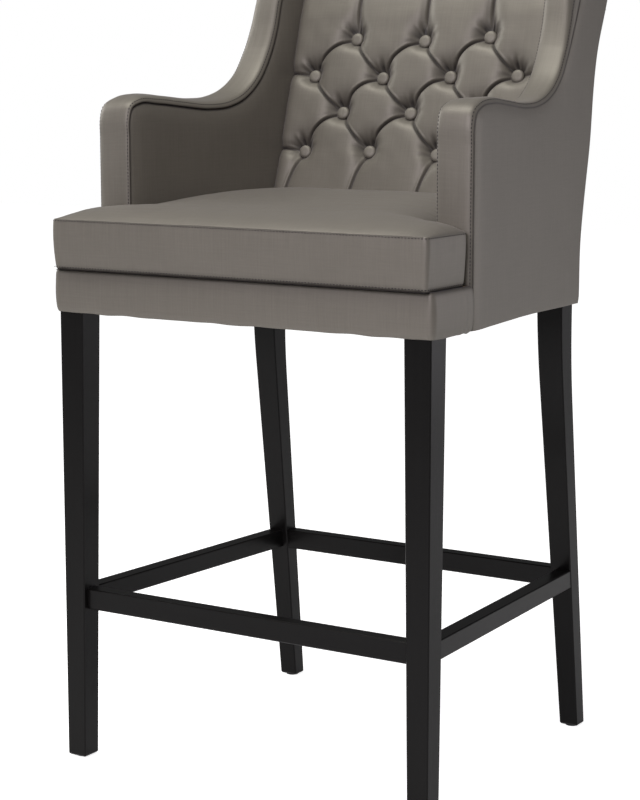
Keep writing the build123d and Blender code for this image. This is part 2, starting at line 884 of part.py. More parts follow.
def puff_cells():
    """The outlines of the puffs between the pleats, each as points on the valley plane."""
    (ha, xa), (hb, xb), (hc, xc), (hd, xd) = button_rows()
    top = up_lean(puff_top_height)
    foot = up_lean(puff_foot_height)
    edge = inner_line(valley(back_reference_height)) - piece_gap
    cells = []
    for left, right, below in ((0, 1, 1), (1, 2, 2)):
        cells.append([(xa[left], ha), (xb[below], hb), (xa[right], ha), (xa[right], top), (xa[left], top)])
    for x, left, right in ((xa[0], xb[0], xb[1]), (xa[1], xb[1], xb[2]), (xa[2], xb[2], xb[3])):
        cells.append([(x, ha), (left, hb), (x, hc), (right, hb)])
    for x, left, right in ((xb[1], xc[0], xc[1]), (xb[2], xc[1], xc[2])):
        cells.append([(x, hb), (left, hc), (x, hd), (right, hc)])
    for left, right in ((0, 1), (1, 2), (2, 3)):
        cells.append([(xd[left], hd), (xd[left], foot), (xd[right], foot), (xd[right], hd), (xc[left], hc)])
    for side in (-1, 1):
        outer, mid = side * xa[2], side * xb[3]
        rim = side * edge
        cells.append([(outer, ha), (outer, top), (rim, top), (rim, hb), (mid, hb)])
        cells.append([(mid, hb), (rim, hb), (rim, hd), (mid, hd), (side * xc[2], hc)])
        cells.append([(mid, hd), (rim, hd), (rim, foot), (mid, foot)])
    return cells


def puff(cell):
    """One puff of the tufting: a pillow that rises from its pleats and flattens at its crown."""
    middle_x = sum(x for x, h in cell) / len(cell)
    middle_h = sum(h for x, h in cell) / len(cell)
    base = offset(make_face(Polyline(*cell, close=True)), -puff_valley)
    corners = [(v.X, v.Y) for v in base.vertices()]
    corners = sorted(corners, key=lambda p: atan2(p[1] - middle_h, p[0] - middle_x))
    rings = [[(x, h, -puff_root) for x, h in corners]]
    for level, size in zip(puff_level_shares, puff_size_shares):
        rise = level * puff_height
        rings.append([(middle_x + (x - middle_x) * size, middle_h + (h - middle_h) * size, rise) for x, h in corners])
    return stepped_solid(rings)


def back_cushion():
    """The inside back: a padded slab with its puffs, rolled over the top rail."""
    foot = groove_height + back_slab_foot_gap
    front_top = Vector(0, valley(roll_base_height), roll_base_height)
    roll_peak = Vector(0, roll_top_reach, roll_top_height)
    rear_y = scroll_top_rear
    rear_top = Vector(0, rear_y, scroll_top_height + piece_gap)
    low_front = Vector(0, valley(foot), foot)
    low_rear = Vector(0, slab_rear(foot), foot)
    rear_base = Vector(0, slab_rear(scroll_top_height + piece_gap), scroll_top_height + piece_gap)
    profile = side_face(
        [
            Line(low_front, front_top),
            ThreePointArc(front_top, roll_peak, rear_top),
            Line(rear_top, rear_base),
            Line(rear_base, low_rear),
            Line(low_rear, low_front),
        ]
    )
    slab = across(profile, cover_half_width)
    slab = slab + mirrored(slab)
    plane = back_plane()
    for cell in puff_cells():
        slab = slab + plane * puff(cell)
    pocket = extrude(RegularPolygon(button_radius + button_pocket_gap, button_side_count), puff_height + overrun)
    for height, places in button_rows():
        for place in places:
            slab = slab - plane * Pos(place, height, 0) * pocket
    return slab & between_arms(piece_gap)


def between_arms(gap):
    """The room between the arms' inner faces."""
    near, far = -overrun, scroll_top_rear + overrun
    outline = [
        (inner_line(near) - gap, near),
        (inner_line(far) - gap, far),
        (gap - inner_line(far), far),
        (gap - inner_line(near), near),
    ]
    return prism_in_plan(outline, floor_height, wing_top_height + puff_height * 2)


def covered_button():
    """A domed, covered button on the origin's plane, its round edge kept to a few short sides."""
    sides = [radians(360 * side / button_side_count) for side in range(button_side_count)]
    rings = [[(button_radius * cos(turn), button_radius * sin(turn), 0) for turn in sides]]
    for level, size in zip(button_level_shares, button_size_shares):
        radius, rise = button_radius * size, button_rim + level * button_dome
        rings.append([(radius * cos(turn), radius * sin(turn), rise) for turn in sides])
    return stepped_solid(rings)


def back_buttons():
    plane = back_plane()
    buttons = []
    for height, places in button_rows():
        for place in places:
            buttons.append(plane * Pos(place, height, 0) * covered_button())
    return buttons


def outside_back_cover():
    """The padded outside back between the side covers, from the hem to the top roll."""
    outer = rear_line(0)
    inner = rear_line(outside_back_padding)
    profile = side_face([outer, Line(outer @ 1, inner @ 1), inner, Line(inner @ 0, outer @ 0)])
    sheet = across(profile, cover_half_width) & inside_cover()
    return sheet + mirrored(sheet)


# Seat cushion
def cushion_outline(grow, corner, neck):
    """Plan outline of the cushion: two ears in front, then the seat between the arms."""
    half = cushion_half_width + grow
    front = cushion_front - grow
    ear = cushion_ear_rear
    neck_y = ear
    neck_x = inner_line(arm_front) - cushion_arm_gap
    rear = cushion_rear + grow
    rear_x = inner_line(rear) - cushion_arm_gap
    right = [(half, front), (half, ear), (neck_x, neck_y), (rear_x, rear)]
    left = [(-x, y) for x, y in reversed(right)]
    middle_front = (0, front + cushion_front_draw)
    edges = [ThreePointArc((-half, front), middle_front, (half, front))]
    side = (half - cushion_side_draw, (front + ear) / 2)
    edges.append(ThreePointArc(right[0], side, right[1]))
    edges.append(Line(right[1], right[2]))
    edges.append(Line(right[2], right[3]))
    edges.append(Line(right[3], left[0]))
    edges.append(Line(left[0], left[1]))
    edges.append(Line(left[1], left[2]))
    edges.append(ThreePointArc(left[2], (-side[0], side[1]), left[3]))
    outline = make_face(edges)
    fronts = [v for v in outline.vertices() if v.Y < ear - overrun]
    rears = [v for v in outline.vertices() if v.Y > rear - overrun]
    outline = fillet(fronts + rears, corner)
    ears = [v for v in outline.vertices() if abs(v.X) > neck_x + overrun and v.Y > ear - hair_gap]
    return fillet(ears, neck)


def seat_cushion():
    """The eared seat cushion: a swelling border and a crowned top."""
    foot = groove_height + piece_gap
    sections = []
    for level, swell in zip(cushion_level_shares, cushion_swell_shares):
        grow = cushion_side_swell * swell if level else -cushion_foot_inset
        outline = cushion_outline(grow, cushion_corner_radius, cushion_neck_radius)
        sections.append(Pos(0, 0, foot + (seat_seam_height - foot) * level) * outline)
    block = extrude(sections[-1], seat_crown_height - seat_seam_height + overrun)
    return loft(sections, ruled=True) + (block & crown_dome())


def crown_dome():
    """The crowned top: arches across the seat that swell from front to back."""
    foot = groove_height + overrun
    half = cushion_half_width + cushion_side_swell + overrun
    front = cushion_front - cushion_side_swell - overrun
    stations = [
        (front, seat_seam_height, crown_front_lift),
        (cushion_ear_rear / 2, seat_seam_height + crown_ear_rise, crown_ear_lift),
        (cushion_ear_rear, seat_seam_height + crown_neck_rise, crown_ear_lift),
        (cushion_ear_rear * 2, seat_crown_height - crown_side_drop - crown_neck_rise, crown_side_drop),
        (crown_peak_reach, seat_crown_height - crown_side_drop, crown_side_drop),
        (cushion_rear + overrun, seat_crown_height - crown_back_lift, crown_side_drop),
    ]
    sections = []
    for y, shoulder, lift in stations:
        a = Vector(-half, y, shoulder)
        b = Vector(half, y, shoulder)
        top = Vector(0, y, shoulder + lift)
        low_a = Vector(-half, y, foot)
        low_b = Vector(half, y, foot)
        sections.append(make_face([Line(low_a, a), ThreePointArc(a, top, b), Line(b, low_b), Line(low_b, low_a)]))
    return loft(sections, ruled=True)


# Rail cover, seat panel and dust cover
def front_rail_cover():
    """The cover of the front rail, turned round both front corners to the arm seams."""
    half = cover_half_width
    inner = half - cover_thickness
    rear = arm_front - piece_gap
    outer_face = make_face(Polyline((-half, rear), (-half, 0), (half, 0), (half, rear), close=True))
    outer_corners = [v for v in outer_face.vertices() if v.Y < hair_gap]
    outer_face = fillet(outer_corners, cover_thickness + leg_arris)
    inner_face = make_face(
        Polyline(
            (-inner, rear + overrun),
            (-inner, cover_thickness),
            (inner, cover_thickness),
            (inner, rear + overrun),
            close=True,
        )
    )
    ring = outer_face - inner_face
    return Pos(0, 0, hem_height) * extrude(ring, groove_height - hem_height)


def seat_panel():
    """The plywood seat, laid on the rails and sawn to the covers' inner line."""
    front = cover_thickness + piece_gap
    rear = back_leg_front - piece_gap
    right = [
        (side_rail_line(front), front),
        (side_rail_line(side_bend_start), side_bend_start),
        (side_rail_line(rear), rear),
    ]
    left = [(-x, y) for x, y in reversed(right)]
    return prism_in_plan(right + left, rail_top, groove_height)


def dust_cover():
    """The thin cloth under the seat frame, cut round the legs."""
    gap = piece_gap
    front_inner = front_leg_half_spread - leg_top_width - gap
    back_inner = back_leg_half_spread - leg_top_width - gap
    front = cover_thickness + piece_gap
    rear = back_leg_front + back_leg_depth - piece_gap * 2
    right = [
        (front_inner, front),
        (front_inner, front_leg_rear + gap),
        (side_rail_line(front_leg_rear) - gap, front_leg_rear + gap),
        (side_rail_line(side_bend_start) - gap, side_bend_start),
        (side_rail_line(back_leg_front) - gap, back_leg_front - gap),
        (back_inner, back_leg_front - gap),
        (back_inner, rear),
    ]
    left = [(-x, y) for x, y in reversed(right)]
    return prism_in_plan(right + left, rail_bottom - dust_cover_thickness, rail_bottom)


# Glides
def glide():
    """A round plastic glide, glued under a foot."""
    return Cylinder(glide_radius, glide_thickness, align=(Align.CENTER, Align.CENTER, Align.MIN))


def foot_centres():
    """Middles of the right legs' feet."""
    front = (front_leg_half_spread - front_foot_width / 2, cover_thickness + front_foot_width / 2)
    back = (back_leg_half_spread - back_foot_width / 2, back_foot_front + back_foot_depth / 2)
    return [front, back]


# Assembly of the wooden frame
def build_frame(parts):
    right_front = front_leg()
    right_back = back_leg()
    left_front, left_back = mirrored(right_front), mirrored(right_back)

    low = stretcher_top
    reach = front_leg_half_spread
    front_bar = bar(
        [
            (-reach, front_stretcher_front),
            (reach, front_stretcher_front),
            (reach, front_stretcher_front + front_stretcher_thickness),
            (-reach, front_stretcher_front + front_stretcher_thickness),
        ],
        low,
        front_stretcher_height,
    )
    back_reach = back_leg_half_spread
    back_stretcher_front = back_leg_middle(low - front_stretcher_height / 2) - back_stretcher_thickness / 2
    back_bar = bar(
        [
            (-back_reach, back_stretcher_front),
            (back_reach, back_stretcher_front),
            (back_reach, back_stretcher_front + back_stretcher_thickness),
            (-back_reach, back_stretcher_front + back_stretcher_thickness),
        ],
        low,
        front_stretcher_height,
    )
    side_front, side_back = cover_thickness, back_foot_front
    side_bar = bar(
        [
            (side_stretcher_front_half, side_front),
            (side_stretcher_back_half, side_back),
            (side_stretcher_back_half - side_stretcher_thickness, side_back),
            (side_stretcher_front_half - side_stretcher_thickness, side_front),
        ],
        low - side_stretcher_drop,
        side_stretcher_height,
    )
    front_bar = fitted_between(front_bar, [right_front, left_front])
    back_bar = fitted_between(back_bar, [right_back, left_back])
    side_bar = fitted_between(side_bar, [right_front, right_back])

    middle_z = low - front_stretcher_height / 2
    side_z = low - side_stretcher_drop - side_stretcher_height / 2
    inside = stretcher_tenon_length
    reach_in = inside * 2
    front_box, back_box, side_box = (b.bounding_box() for b in (front_bar, back_bar, side_bar))
    front_y = front_stretcher_front + front_stretcher_thickness / 2
    back_y = back_stretcher_front + back_stretcher_thickness / 2
    side_x_front = side_stretcher_front_half - side_stretcher_thickness / 2
    side_x_back = side_stretcher_back_half - side_stretcher_thickness / 2
    sites = {
        "front": [(front_box.max.X - inside, front_y, middle_z, 0)],
        "back": [(back_box.max.X - inside, back_y, middle_z, 0)],
        "side_front": [(side_x_front, side_box.min.Y + inside, side_z, -90)],
        "side_back": [(side_x_back, side_box.max.Y - inside, side_z, 90)],
    }

    def tenons(name, clearance):
        made = []
        for x, y, z, turn in sites[name]:
            made.append(stretcher_end(x, y, z, turn, clearance, reach_in))
        return made

    for name in ("front", "side_front"):
        for block in tenons(name, tenon_clearance):
            right_front = right_front - block
    for name in ("back", "side_back"):
        for block in tenons(name, tenon_clearance):
            right_back = right_back - block
    for block in tenons("front", 0):
        front_bar = front_bar + block + mirrored(block)
    for block in tenons("back", 0):
        back_bar = back_bar + block + mirrored(block)
    for block in tenons("side_front", 0) + tenons("side_back", 0):
        side_bar = side_bar + block

    rail_sites = tenon_sites()
    for block in placed_tenons(rail_sites["front_seat_rail"], tenon_clearance):
        right_front = right_front - block
    for block in placed_tenons(rail_sites["back_seat_rail"], tenon_clearance):
        right_back = right_back - block
    front_side, back_side = placed_tenons(rail_sites["side_seat_rail"], tenon_clearance)
    right_front = right_front - front_side
    right_back = right_back - back_side

    front_plan, back_plan = corner_block_plans()
    middle = (rail_bottom + rail_top) / 2
    low_block = middle - corner_block_height / 2
    high_block = middle + corner_block_height / 2
    front_block = prism_in_plan(front_plan, low_block, high_block)
    back_block = prism_in_plan(back_plan, low_block, high_block)
    front_place, back_place = block_screw_places()
    front_block = front_block - front_place * screw_hole(block_screw_length, overrun)
    back_block = back_block - back_place * screw_hole(block_screw_length, overrun)
    right_front = right_front - front_place * screw_hole(block_screw_length, overrun)
    right_back = right_back - back_place * screw_hole(block_screw_length, overrun)
    block_screws = [place * wood_screw(block_screw_length) for place in (front_place, back_place)]

    glides = []
    for x, y in foot_centres():
        glides.append(Pos(x, y, 0) * glide())

    parts["front_leg_right"] = [right_front]
    parts["front_leg_left"] = [mirrored(right_front)]
    parts["back_leg_right"] = [right_back]
    parts["back_leg_left"] = [mirrored(right_back)]
    parts["front_stretcher"] = [front_bar]
    parts["back_stretcher"] = [back_bar]
    parts["side_stretcher_right"] = [side_bar]
    parts["side_stretcher_left"] = [mirrored(side_bar)]
    parts["front_seat_rail"] = [front_seat_rail()]
    parts["back_seat_rail"] = [back_seat_rail()]
    side_rail = side_seat_rail()
    panel = seat_panel()
    frame = arm_frame()
    arm_screws = []
    for place in arm_screw_places():
        hole = place * screw_hole(arm_screw_length, arm_screw_height() - rail_bottom + overrun)
        side_rail = side_rail - hole
        panel = panel - hole - mirrored(hole)
        frame = frame - hole
        arm_screws.append(place * wood_screw(arm_screw_length))
    parts["side_seat_rail_right"] = [side_rail]
    parts["side_seat_rail_left"] = [mirrored(side_rail)]
    parts["seat_panel"] = [panel]
    parts["arm_frame_right"] = [frame]
    parts["arm_frame_left"] = [mirrored(frame)]
    parts["arm_frame_screws"] = both_sides(arm_screws)
    parts["corner_blocks"] = both_sides([front_block, back_block])
    parts["corner_block_screws"] = both_sides(block_screws)
    parts["glides"] = both_sides(glides)


def both_sides(shapes):
    """Each right-hand shape and its mirror image."""
    made = []
    for shape in shapes:
        made += [shape, mirrored(shape)]
    return made


def build_back(parts):
    board = back_board_face(back_board_bottom, back_board_top, 0, back_board_thickness)
    parts["back_board"] = [between_posts(board) & between_arms(piece_gap)]
    low_rail = back_board_face(
        back_board_bottom, back_board_bottom + back_lower_rail_height, back_board_thickness, back_rail_thickness
    )
    top_rail = back_board_face(
        back_board_top - back_top_rail_height, back_board_top, back_board_thickness, back_rail_thickness
    )
    parts["back_lower_rail"] = [between_posts(low_rail)]
    parts["back_top_rail"] = [between_posts(top_rail)]
    parts["back_cushion"] = [back_cushion()]
    parts["back_buttons"] = back_buttons()
    parts["outside_back_cover"] = [outside_back_cover()]


def build_upholstery(parts):
    parts["seat_cushion"] = [seat_cushion()]
    parts["front_rail_cover"] = [front_rail_cover()]
    parts["dust_cover"] = [dust_cover()]
    for name, make in (
        ("arm_inner_pad", arm_inner_pad),
        ("arm_outer_cover", arm_outer_cover),
        ("arm_band", arm_band),
    ):
        right = make()
        parts[name + "_right"] = [right]
        parts[name + "_left"] = [mirrored(right)]


def main():
    parts = {}
    build_frame(parts)
    build_back(parts)
    build_upholstery(parts)
    solids = [shape for group in parts.values() for shape in group]
    box = Compound(children=[Compound(s.solids()) for s in solids]).bounding_box()
    home = Pos(-(box.min.X + box.max.X) / 2, -(box.min.Y + box.max.Y) / 2, -box.min.Z)
    os.makedirs("parts", exist_ok=True)
    for name, group in parts.items():
        pieces = [home * solid for shape in group for solid in shape.solids()]
        whole = pieces[0] if len(pieces) == 1 else Compound(pieces)
        export_step(whole, "parts/" + name + ".step")
    print("size", box.size, "moved by", -(box.min.Y + box.max.Y) / 2)


main()
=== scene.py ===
import math
import bmesh
import bpy
import numpy as np
from mathutils import Matrix, Vector


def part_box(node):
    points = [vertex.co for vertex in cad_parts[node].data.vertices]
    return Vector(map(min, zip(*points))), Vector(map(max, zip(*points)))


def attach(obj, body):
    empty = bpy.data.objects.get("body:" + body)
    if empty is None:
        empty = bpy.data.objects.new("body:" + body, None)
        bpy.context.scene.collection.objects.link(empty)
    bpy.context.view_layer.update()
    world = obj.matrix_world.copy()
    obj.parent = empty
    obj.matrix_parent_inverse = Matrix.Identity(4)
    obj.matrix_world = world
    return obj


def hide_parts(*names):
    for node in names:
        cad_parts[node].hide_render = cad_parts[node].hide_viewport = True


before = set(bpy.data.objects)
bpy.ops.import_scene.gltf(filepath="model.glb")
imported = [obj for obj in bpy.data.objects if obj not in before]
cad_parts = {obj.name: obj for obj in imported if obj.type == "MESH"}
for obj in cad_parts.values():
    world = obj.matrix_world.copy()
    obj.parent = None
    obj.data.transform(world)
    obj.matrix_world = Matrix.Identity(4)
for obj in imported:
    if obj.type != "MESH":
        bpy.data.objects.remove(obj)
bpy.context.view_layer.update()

# Studio
# A pale seamless floor under soft boxes, photographed from the stool's front right, a little
# above the seat. The floor is lifted towards white for the eye, and keeps the shadow.
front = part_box("front_rail_cover")[0].y
eye = Vector((1.57373, front - 2.26163, 0.98160))
eye_yaw, eye_pitch = 32.472, 9.026
focal_length, sensor_width = 94.62, 36
floor_half, floor_near, floor_far = 9, 1.0, 4.0
white, near_white = (1, 1, 1), (0.86, 0.86, 0.86)


class Wire:
    """A socket of a finish, on which sums can be written."""

    def __init__(self, finish, socket):
        self.finish = finish
        self.socket = socket

    def maths(self, operation, *terms):
        return self.finish.add("Math", {"operation": operation}, dict(enumerate(terms)))

    def __add__(self, other):
        return self.maths("ADD", self, other)

    def __sub__(self, other):
        return self.maths("SUBTRACT", self, other)

    def __rsub__(self, other):
        return self.maths("SUBTRACT", other, self)

    def __mul__(self, other):
        return self.maths("MULTIPLY", self, other)

    __radd__ = __add__
    __rmul__ = __mul__


class Finish:
    """A material or a world, and the one way in which nodes are added to it."""

    def __init__(self, name, kept_in=bpy.data.materials):
        self.material = kept_in.new(name)
        self.material.use_nodes = True
        self.tree = self.material.node_tree
        self.tree.nodes.clear()

    def add(self, kind, settings, sockets, outlet=0):
        made = self.tree.nodes.new("ShaderNode" + kind)
        for name, value in settings.items():
            setattr(made, name, value)
        for key, value in sockets.items():
            if isinstance(value, Wire):
                self.tree.links.new(value.socket, made.inputs[key])
            else:
                made.inputs[key].default_value = value
        return Wire(self, made.outputs[outlet]) if made.outputs else None

    def colours(self, share, dark, light):
        return self.add("Mix", {"data_type": "RGBA"}, {0: share, 6: (*dark, 1), 7: (*light, 1)}, 2)

    def noise(self, vector, scale, detail=2.0, rough=0.5):
        sockets = {"Vector": vector, "Scale": scale, "Detail": detail, "Roughness": rough}
        return self.add("TexNoise", {}, sockets)

    def stretched(self, vector, scale, turn=(0, 0, 0)):
        return self.add("Mapping", {}, {"Vector": vector, "Scale": scale, "Rotation": turn})

    def bump(self, height, distance, strength):
        return self.add("Bump", {}, {"Height": height, "Distance": distance, "Strength": strength})

    def end(self, **sockets):
        named = {name.replace("_", " "): value for name, value in sockets.items()}
        shader = self.add("BsdfPrincipled", {}, named)
        self.add("OutputMaterial", {}, {"Surface": shader})
        return self.material


def soft_box(name, place, aim, size, power, tint=white):
    """A rectangular lamp turned towards the stool."""
    lamp = bpy.data.lights.new(name, "AREA")
    lamp.color = tint
    lamp.shape = "RECTANGLE"
    lamp.size, lamp.size_y = size
    lamp.energy = power
    held = bpy.data.objects.new(name, lamp)
    held.location = place
    held.rotation_euler = (Vector(aim) - Vector(place)).to_track_quat("-Z", "Y").to_euler()
    bpy.context.scene.collection.objects.link(held)


def make_floor():
    """The floor under the stool, which pales to white behind it."""
    mesh = bmesh.new()
    bmesh.ops.create_grid(mesh, x_segments=2, y_segments=2, size=floor_half)
    data = bpy.data.meshes.new("floor")
    mesh.to_mesh(data)
    mesh.free()
    floor = bpy.data.objects.new("floor", data)
    bpy.context.scene.collection.objects.link(floor)
    paint = Finish("floor_paint")
    seen = paint.add("LightPath", {}, {}, "Is Camera Ray")
    glossy = paint.add("LightPath", {}, {}, "Is Glossy Ray")
    lift = seen + glossy * 0.3
    place = paint.add("TexCoord", {}, {}, "Object")
    mottle = paint.noise(place, 1.3)
    shade = paint.colours(mottle, near_white, (0.88, 0.88, 0.88))
    plain = paint.add("BsdfDiffuse", {}, {"Color": shade})
    reach = paint.add("VectorMath", {"operation": "LENGTH"}, {0: place}, "Value")
    far = paint.add("MapRange", {}, {"Value": reach, "From Min": floor_near, "From Max": floor_far})
    haze = paint.colours(far, near_white, white)
    glow = paint.add("Emission", {}, {"Color": haze, "Strength": 1.0})
    dark = paint.add("Emission", {}, {"Strength": 0.0})
    lit = paint.add("MixShader", {}, {0: lift, 1: dark, 2: glow})
    both = paint.add("AddShader", {}, {0: plain, 1: lit})
    paint.add("OutputMaterial", {}, {"Surface": both})
    data.materials.append(paint.material)


def make_world():
    """A white backdrop for the eye, which lights the stool only faintly."""
    world = Finish("studio", bpy.data.worlds)
    seen = world.add("LightPath", {}, {}, "Is Camera Ray")
    strength = world.add("Mix", {}, {0: seen, 2: 0.10, 3: 1.0})
    glow = world.add("Background", {}, {"Color": (*white, 1), "Strength": strength})
    world.add("OutputWorld", {}, {"Surface": glow})
    bpy.context.scene.world = world.material


def light_and_shoot():
    """The four soft boxes and the camera."""
    soft_box("key_box", (0.5, -2.3, 1.6), (0, 0, 0.8), (1.5, 1.2), 26, (1, 0.93, 1.04))
    soft_box("top_box", (-0.25, -0.6, 2.9), (0, 0, 0.8), (1.5, 1.5), 36, (1, 0.99, 0.94))
    soft_box("right_box", (1.8, 1.6, 0.8), (0.25, 0.2, 0.8), (0.8, 1.2), 8, (1, 0.96, 1.02))
    soft_box("left_box", (-2.8, -0.4, 1.8), (0, 0, 0.8), (1.4, 1.6), 36)

    camera = bpy.data.cameras.new("camera")
    camera.lens = focal_length
    camera.sensor_width = sensor_width
    camera.clip_end = 40
    held = bpy.data.objects.new("camera", camera)
    held.location = eye
    held.rotation_euler = (math.radians(90 - eye_pitch), 0, math.radians(eye_yaw))
    bpy.context.scene.collection.objects.link(held)
    bpy.context.scene.camera = held
    bpy.context.scene.view_settings.view_transform = "Standard"


make_floor()
make_world()
light_and_shoot()

# Legs and stretchers
# Beech, stained black brown and sprayed with a satin lacquer that leaves the grain faintly
# open. The stretchers are tenoned into the legs.
lacquer_dark, lacquer_light = (0.0035, 0.0032, 0.0030), (0.0075, 0.0069, 0.0066)


def along_axis(axis, lengthwise, crosswise):
    """How often a pattern repeats per metre along each axis, for grain that runs along one."""
    return tuple(lengthwise if name == axis else crosswise for name in "XYZ")


def lacquer(name, axis):
    """The lacquer with its grain along one of the axes."""
    paint = Finish(name)
    place = paint.add("TexCoord", {}, {}, "Object")
    grain = paint.noise(paint.stretched(place, along_axis(axis, 5, 150)), 1.0, 3.0, 0.6)
    pores = paint.noise(paint.stretched(place, along_axis(axis, 14, 700)), 1.0, 1.0, 0.4)
    cloud = paint.noise(place, 9.0)
    tone = grain * 0.6 + cloud * 0.4
    rough = 0.26 + cloud * 0.10 + grain * 0.06
    height = grain * 0.5 + pores * 0.5
    return paint.end(
        Base_Color=paint.colours(tone, lacquer_dark, lacquer_light),
        Roughness=rough,
        Specular_IOR_Level=0.15,
        Coat_Weight=0.05,
        Coat_Roughness=0.15,
        Normal=paint.bump(height, 0.0002, 0.35),
    )


def dress(finish, *nodes):
    """Gives CAD nodes their finish; their meshes stay as they are."""
    for node in nodes:
        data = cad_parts[node].data
        data.materials.clear()
        data.materials.append(finish)


dress(
    lacquer("lacquer_upright", "Z"),
    "front_leg_left", "front_leg_right", "back_leg_left", "back_leg_right",
)
dress(lacquer("lacquer_across", "X"), "front_stretcher", "back_stretcher")
dress(lacquer("lacquer_deep", "Y"), "side_stretcher_left", "side_stretcher_right")

# Inner frame
# Plain beech rails, birch plywood panels, zinc plated screws and hard plastic glides. The rails
# are tenoned into the legs and braced with corner blocks, and hardly anything of it shows.
beech_dark, beech_light = (0.42, 0.27, 0.15), (0.58, 0.40, 0.25)


def bare_wood(name, dark, light, way):
    """Wood without a coat; its way is how often the rings repeat along each axis."""
    wood = Finish(name)
    place = wood.add("TexCoord", {}, {}, "Object")
    rings = wood.noise(wood.stretched(place, way), 1.0, 3.0, 0.6)
    pores = wood.noise(wood.stretched(place, tuple(8 * w for w in way)), 1.0)
    return wood.end(
        Base_Color=wood.colours(rings * 0.7 + pores * 0.3, dark, light),
        Roughness=0.55 + rings * 0.15,
        Normal=wood.bump(pores, 0.0002, 0.4),
    )


def plain_finish(name, dark, light, rough, metal, grit):
    """A plain surface with a fine speckle."""
    paint = Finish(name)
    place = paint.add("TexCoord", {}, {}, "Object")
    speckle = paint.noise(place, grit)
    return paint.end(
        Base_Color=paint.colours(speckle, dark, light),
        Roughness=rough + speckle * 0.12,
        Metallic=metal,
        Normal=paint.bump(speckle, 0.0001, 0.3),
    )


dress(
    bare_wood("beech", beech_dark, beech_light, along_axis("X", 8, 90)),
    "front_seat_rail", "back_seat_rail", "back_lower_rail", "back_top_rail",
)
dress(
    bare_wood("beech_deep", beech_dark, beech_light, along_axis("Y", 8, 90)),
    "side_seat_rail_left", "side_seat_rail_right", "corner_blocks",
)
dress(
    bare_wood("birch_plywood", (0.52, 0.38, 0.22), (0.66, 0.50, 0.32), (60, 10, 200)),
    "seat_panel", "arm_frame_left", "arm_frame_right", "back_board",
)
dress(
    plain_finish("zinc", (0.45, 0.45, 0.46), (0.62, 0.62, 0.62), 0.3, 1.0, 900),
    "corner_block_screws", "arm_frame_screws",
)
dress(
    plain_finish("glide_plastic", (0.012, 0.012, 0.012), (0.03, 0.03, 0.03), 0.5, 0.0, 600),
    "glides",
)

# Outer arm covers
# A coated cloth with an embossed linen weave, pulled over thin wadding and sewn to the boxing
# band along the outer seam, from the hem up the front, along the crest and up the wing.
mm = 0.001
cloth_dark, cloth_light = (0.158, 0.145, 0.118), (0.236, 0.219, 0.184)
# Near black for the seam lines and for the shade painted into folds, button pits and corners
seam_and_shade_colour = (0.07, 0.055, 0.052)
hem = 645 * mm
half_width, back_half_width = 299.5 * mm, 268.5 * mm
outer_draw_start, rear_foot = 105 * mm, 481 * mm
# Lines are given in mm, as the depth behind the rail cover's face and the height
outer_seam = [
    (103, 645), (103, 700), (103, 760), (103, 820), (103, 880), (103.6, 906), (109.5, 921.6),
    (126.5, 930.2), (160, 934.4), (215.2, 931), (277.1, 926.5), (322, 929.1), (360.1, 939.1),
    (397.7, 962.6), (425, 999.1), (447, 1036), (467, 1074), (481.1, 1108), (493.8, 1125.9),
    (517.2, 1138.1), (548, 1140), (583, 1121.5), (591, 1110),
]
rear_corner = [
    (481, 645), (481, 652), (481, 713), (510.7, 861.5), (540.4, 1010), (566, 1061.5), (591, 1112),
]


def cloth(name):
    """The coated cloth: two sets of slubby threads, a satin skin, darker seams and painted shade."""
    skin = Finish(name)
    weave = skin.add("UVMap", {"uv_map": "weave"}, {})
    warp = skin.noise(skin.stretched(weave, (1300, 40, 1)), 1.0, 2.0, 0.6)
    weft = skin.noise(skin.stretched(weave, (40, 1300, 1)), 1.0, 2.0, 0.6)
    slub = skin.noise(skin.stretched(weave, (420, 11, 1)), 1.0, 2.0, 0.6)
    cross = skin.noise(skin.stretched(weave, (11, 420, 1)), 1.0, 2.0, 0.6)
    cloud = skin.noise(weave, 9.0, 2.0, 0.5)
    seam_and_shade = skin.add("Attribute", {"attribute_name": "seam_and_shade"}, {}, "Fac")
    tone = warp * 0.20 + weft * 0.20 + slub * 0.27 + cross * 0.18 + cloud * 0.15
    base = skin.colours((tone - 0.5) * 2.0 + 0.5, cloth_dark, cloth_light)
    multiply = {"data_type": "RGBA", "blend_type": "MULTIPLY"}
    # The per-vertex darkness holds dark seam lines and painted shade in folds, pits and corners; it
    # pulls the colour towards near black and takes the metallic sheen away
    seamed_and_shaded = skin.add("Mix", multiply, {0: seam_and_shade * 0.92, 6: base, 7: (*seam_and_shade_colour, 1)}, 2)
    height = warp * 0.5 + weft * 0.5
    return skin.end(
        Base_Color=seamed_and_shaded,
        Metallic=0.30 * (1 - seam_and_shade),
        Roughness=0.42 + tone * 0.16,
        Specular_IOR_Level=0.5,
        Sheen_Weight=0.08,
        Sheen_Roughness=0.45,
        Sheen_Tint=(0.84, 0.78, 0.94, 1),
        Normal=skin.bump(height, 0.0004, 0.30),
    )


upholstery = cloth("coated_cloth")


def measured(line):
    """How far along a line each of its points lies."""
    return np.r_[0, np.cumsum(np.linalg.norm(np.diff(line, axis=0), axis=1))]


def evened(line, count):
    """A line as evenly spaced places."""
    run = measured(line)
    even = np.linspace(0, run[-1], count)
    return np.stack([np.interp(even, run, line[:, k]) for k in range(line.shape[1])], 1)


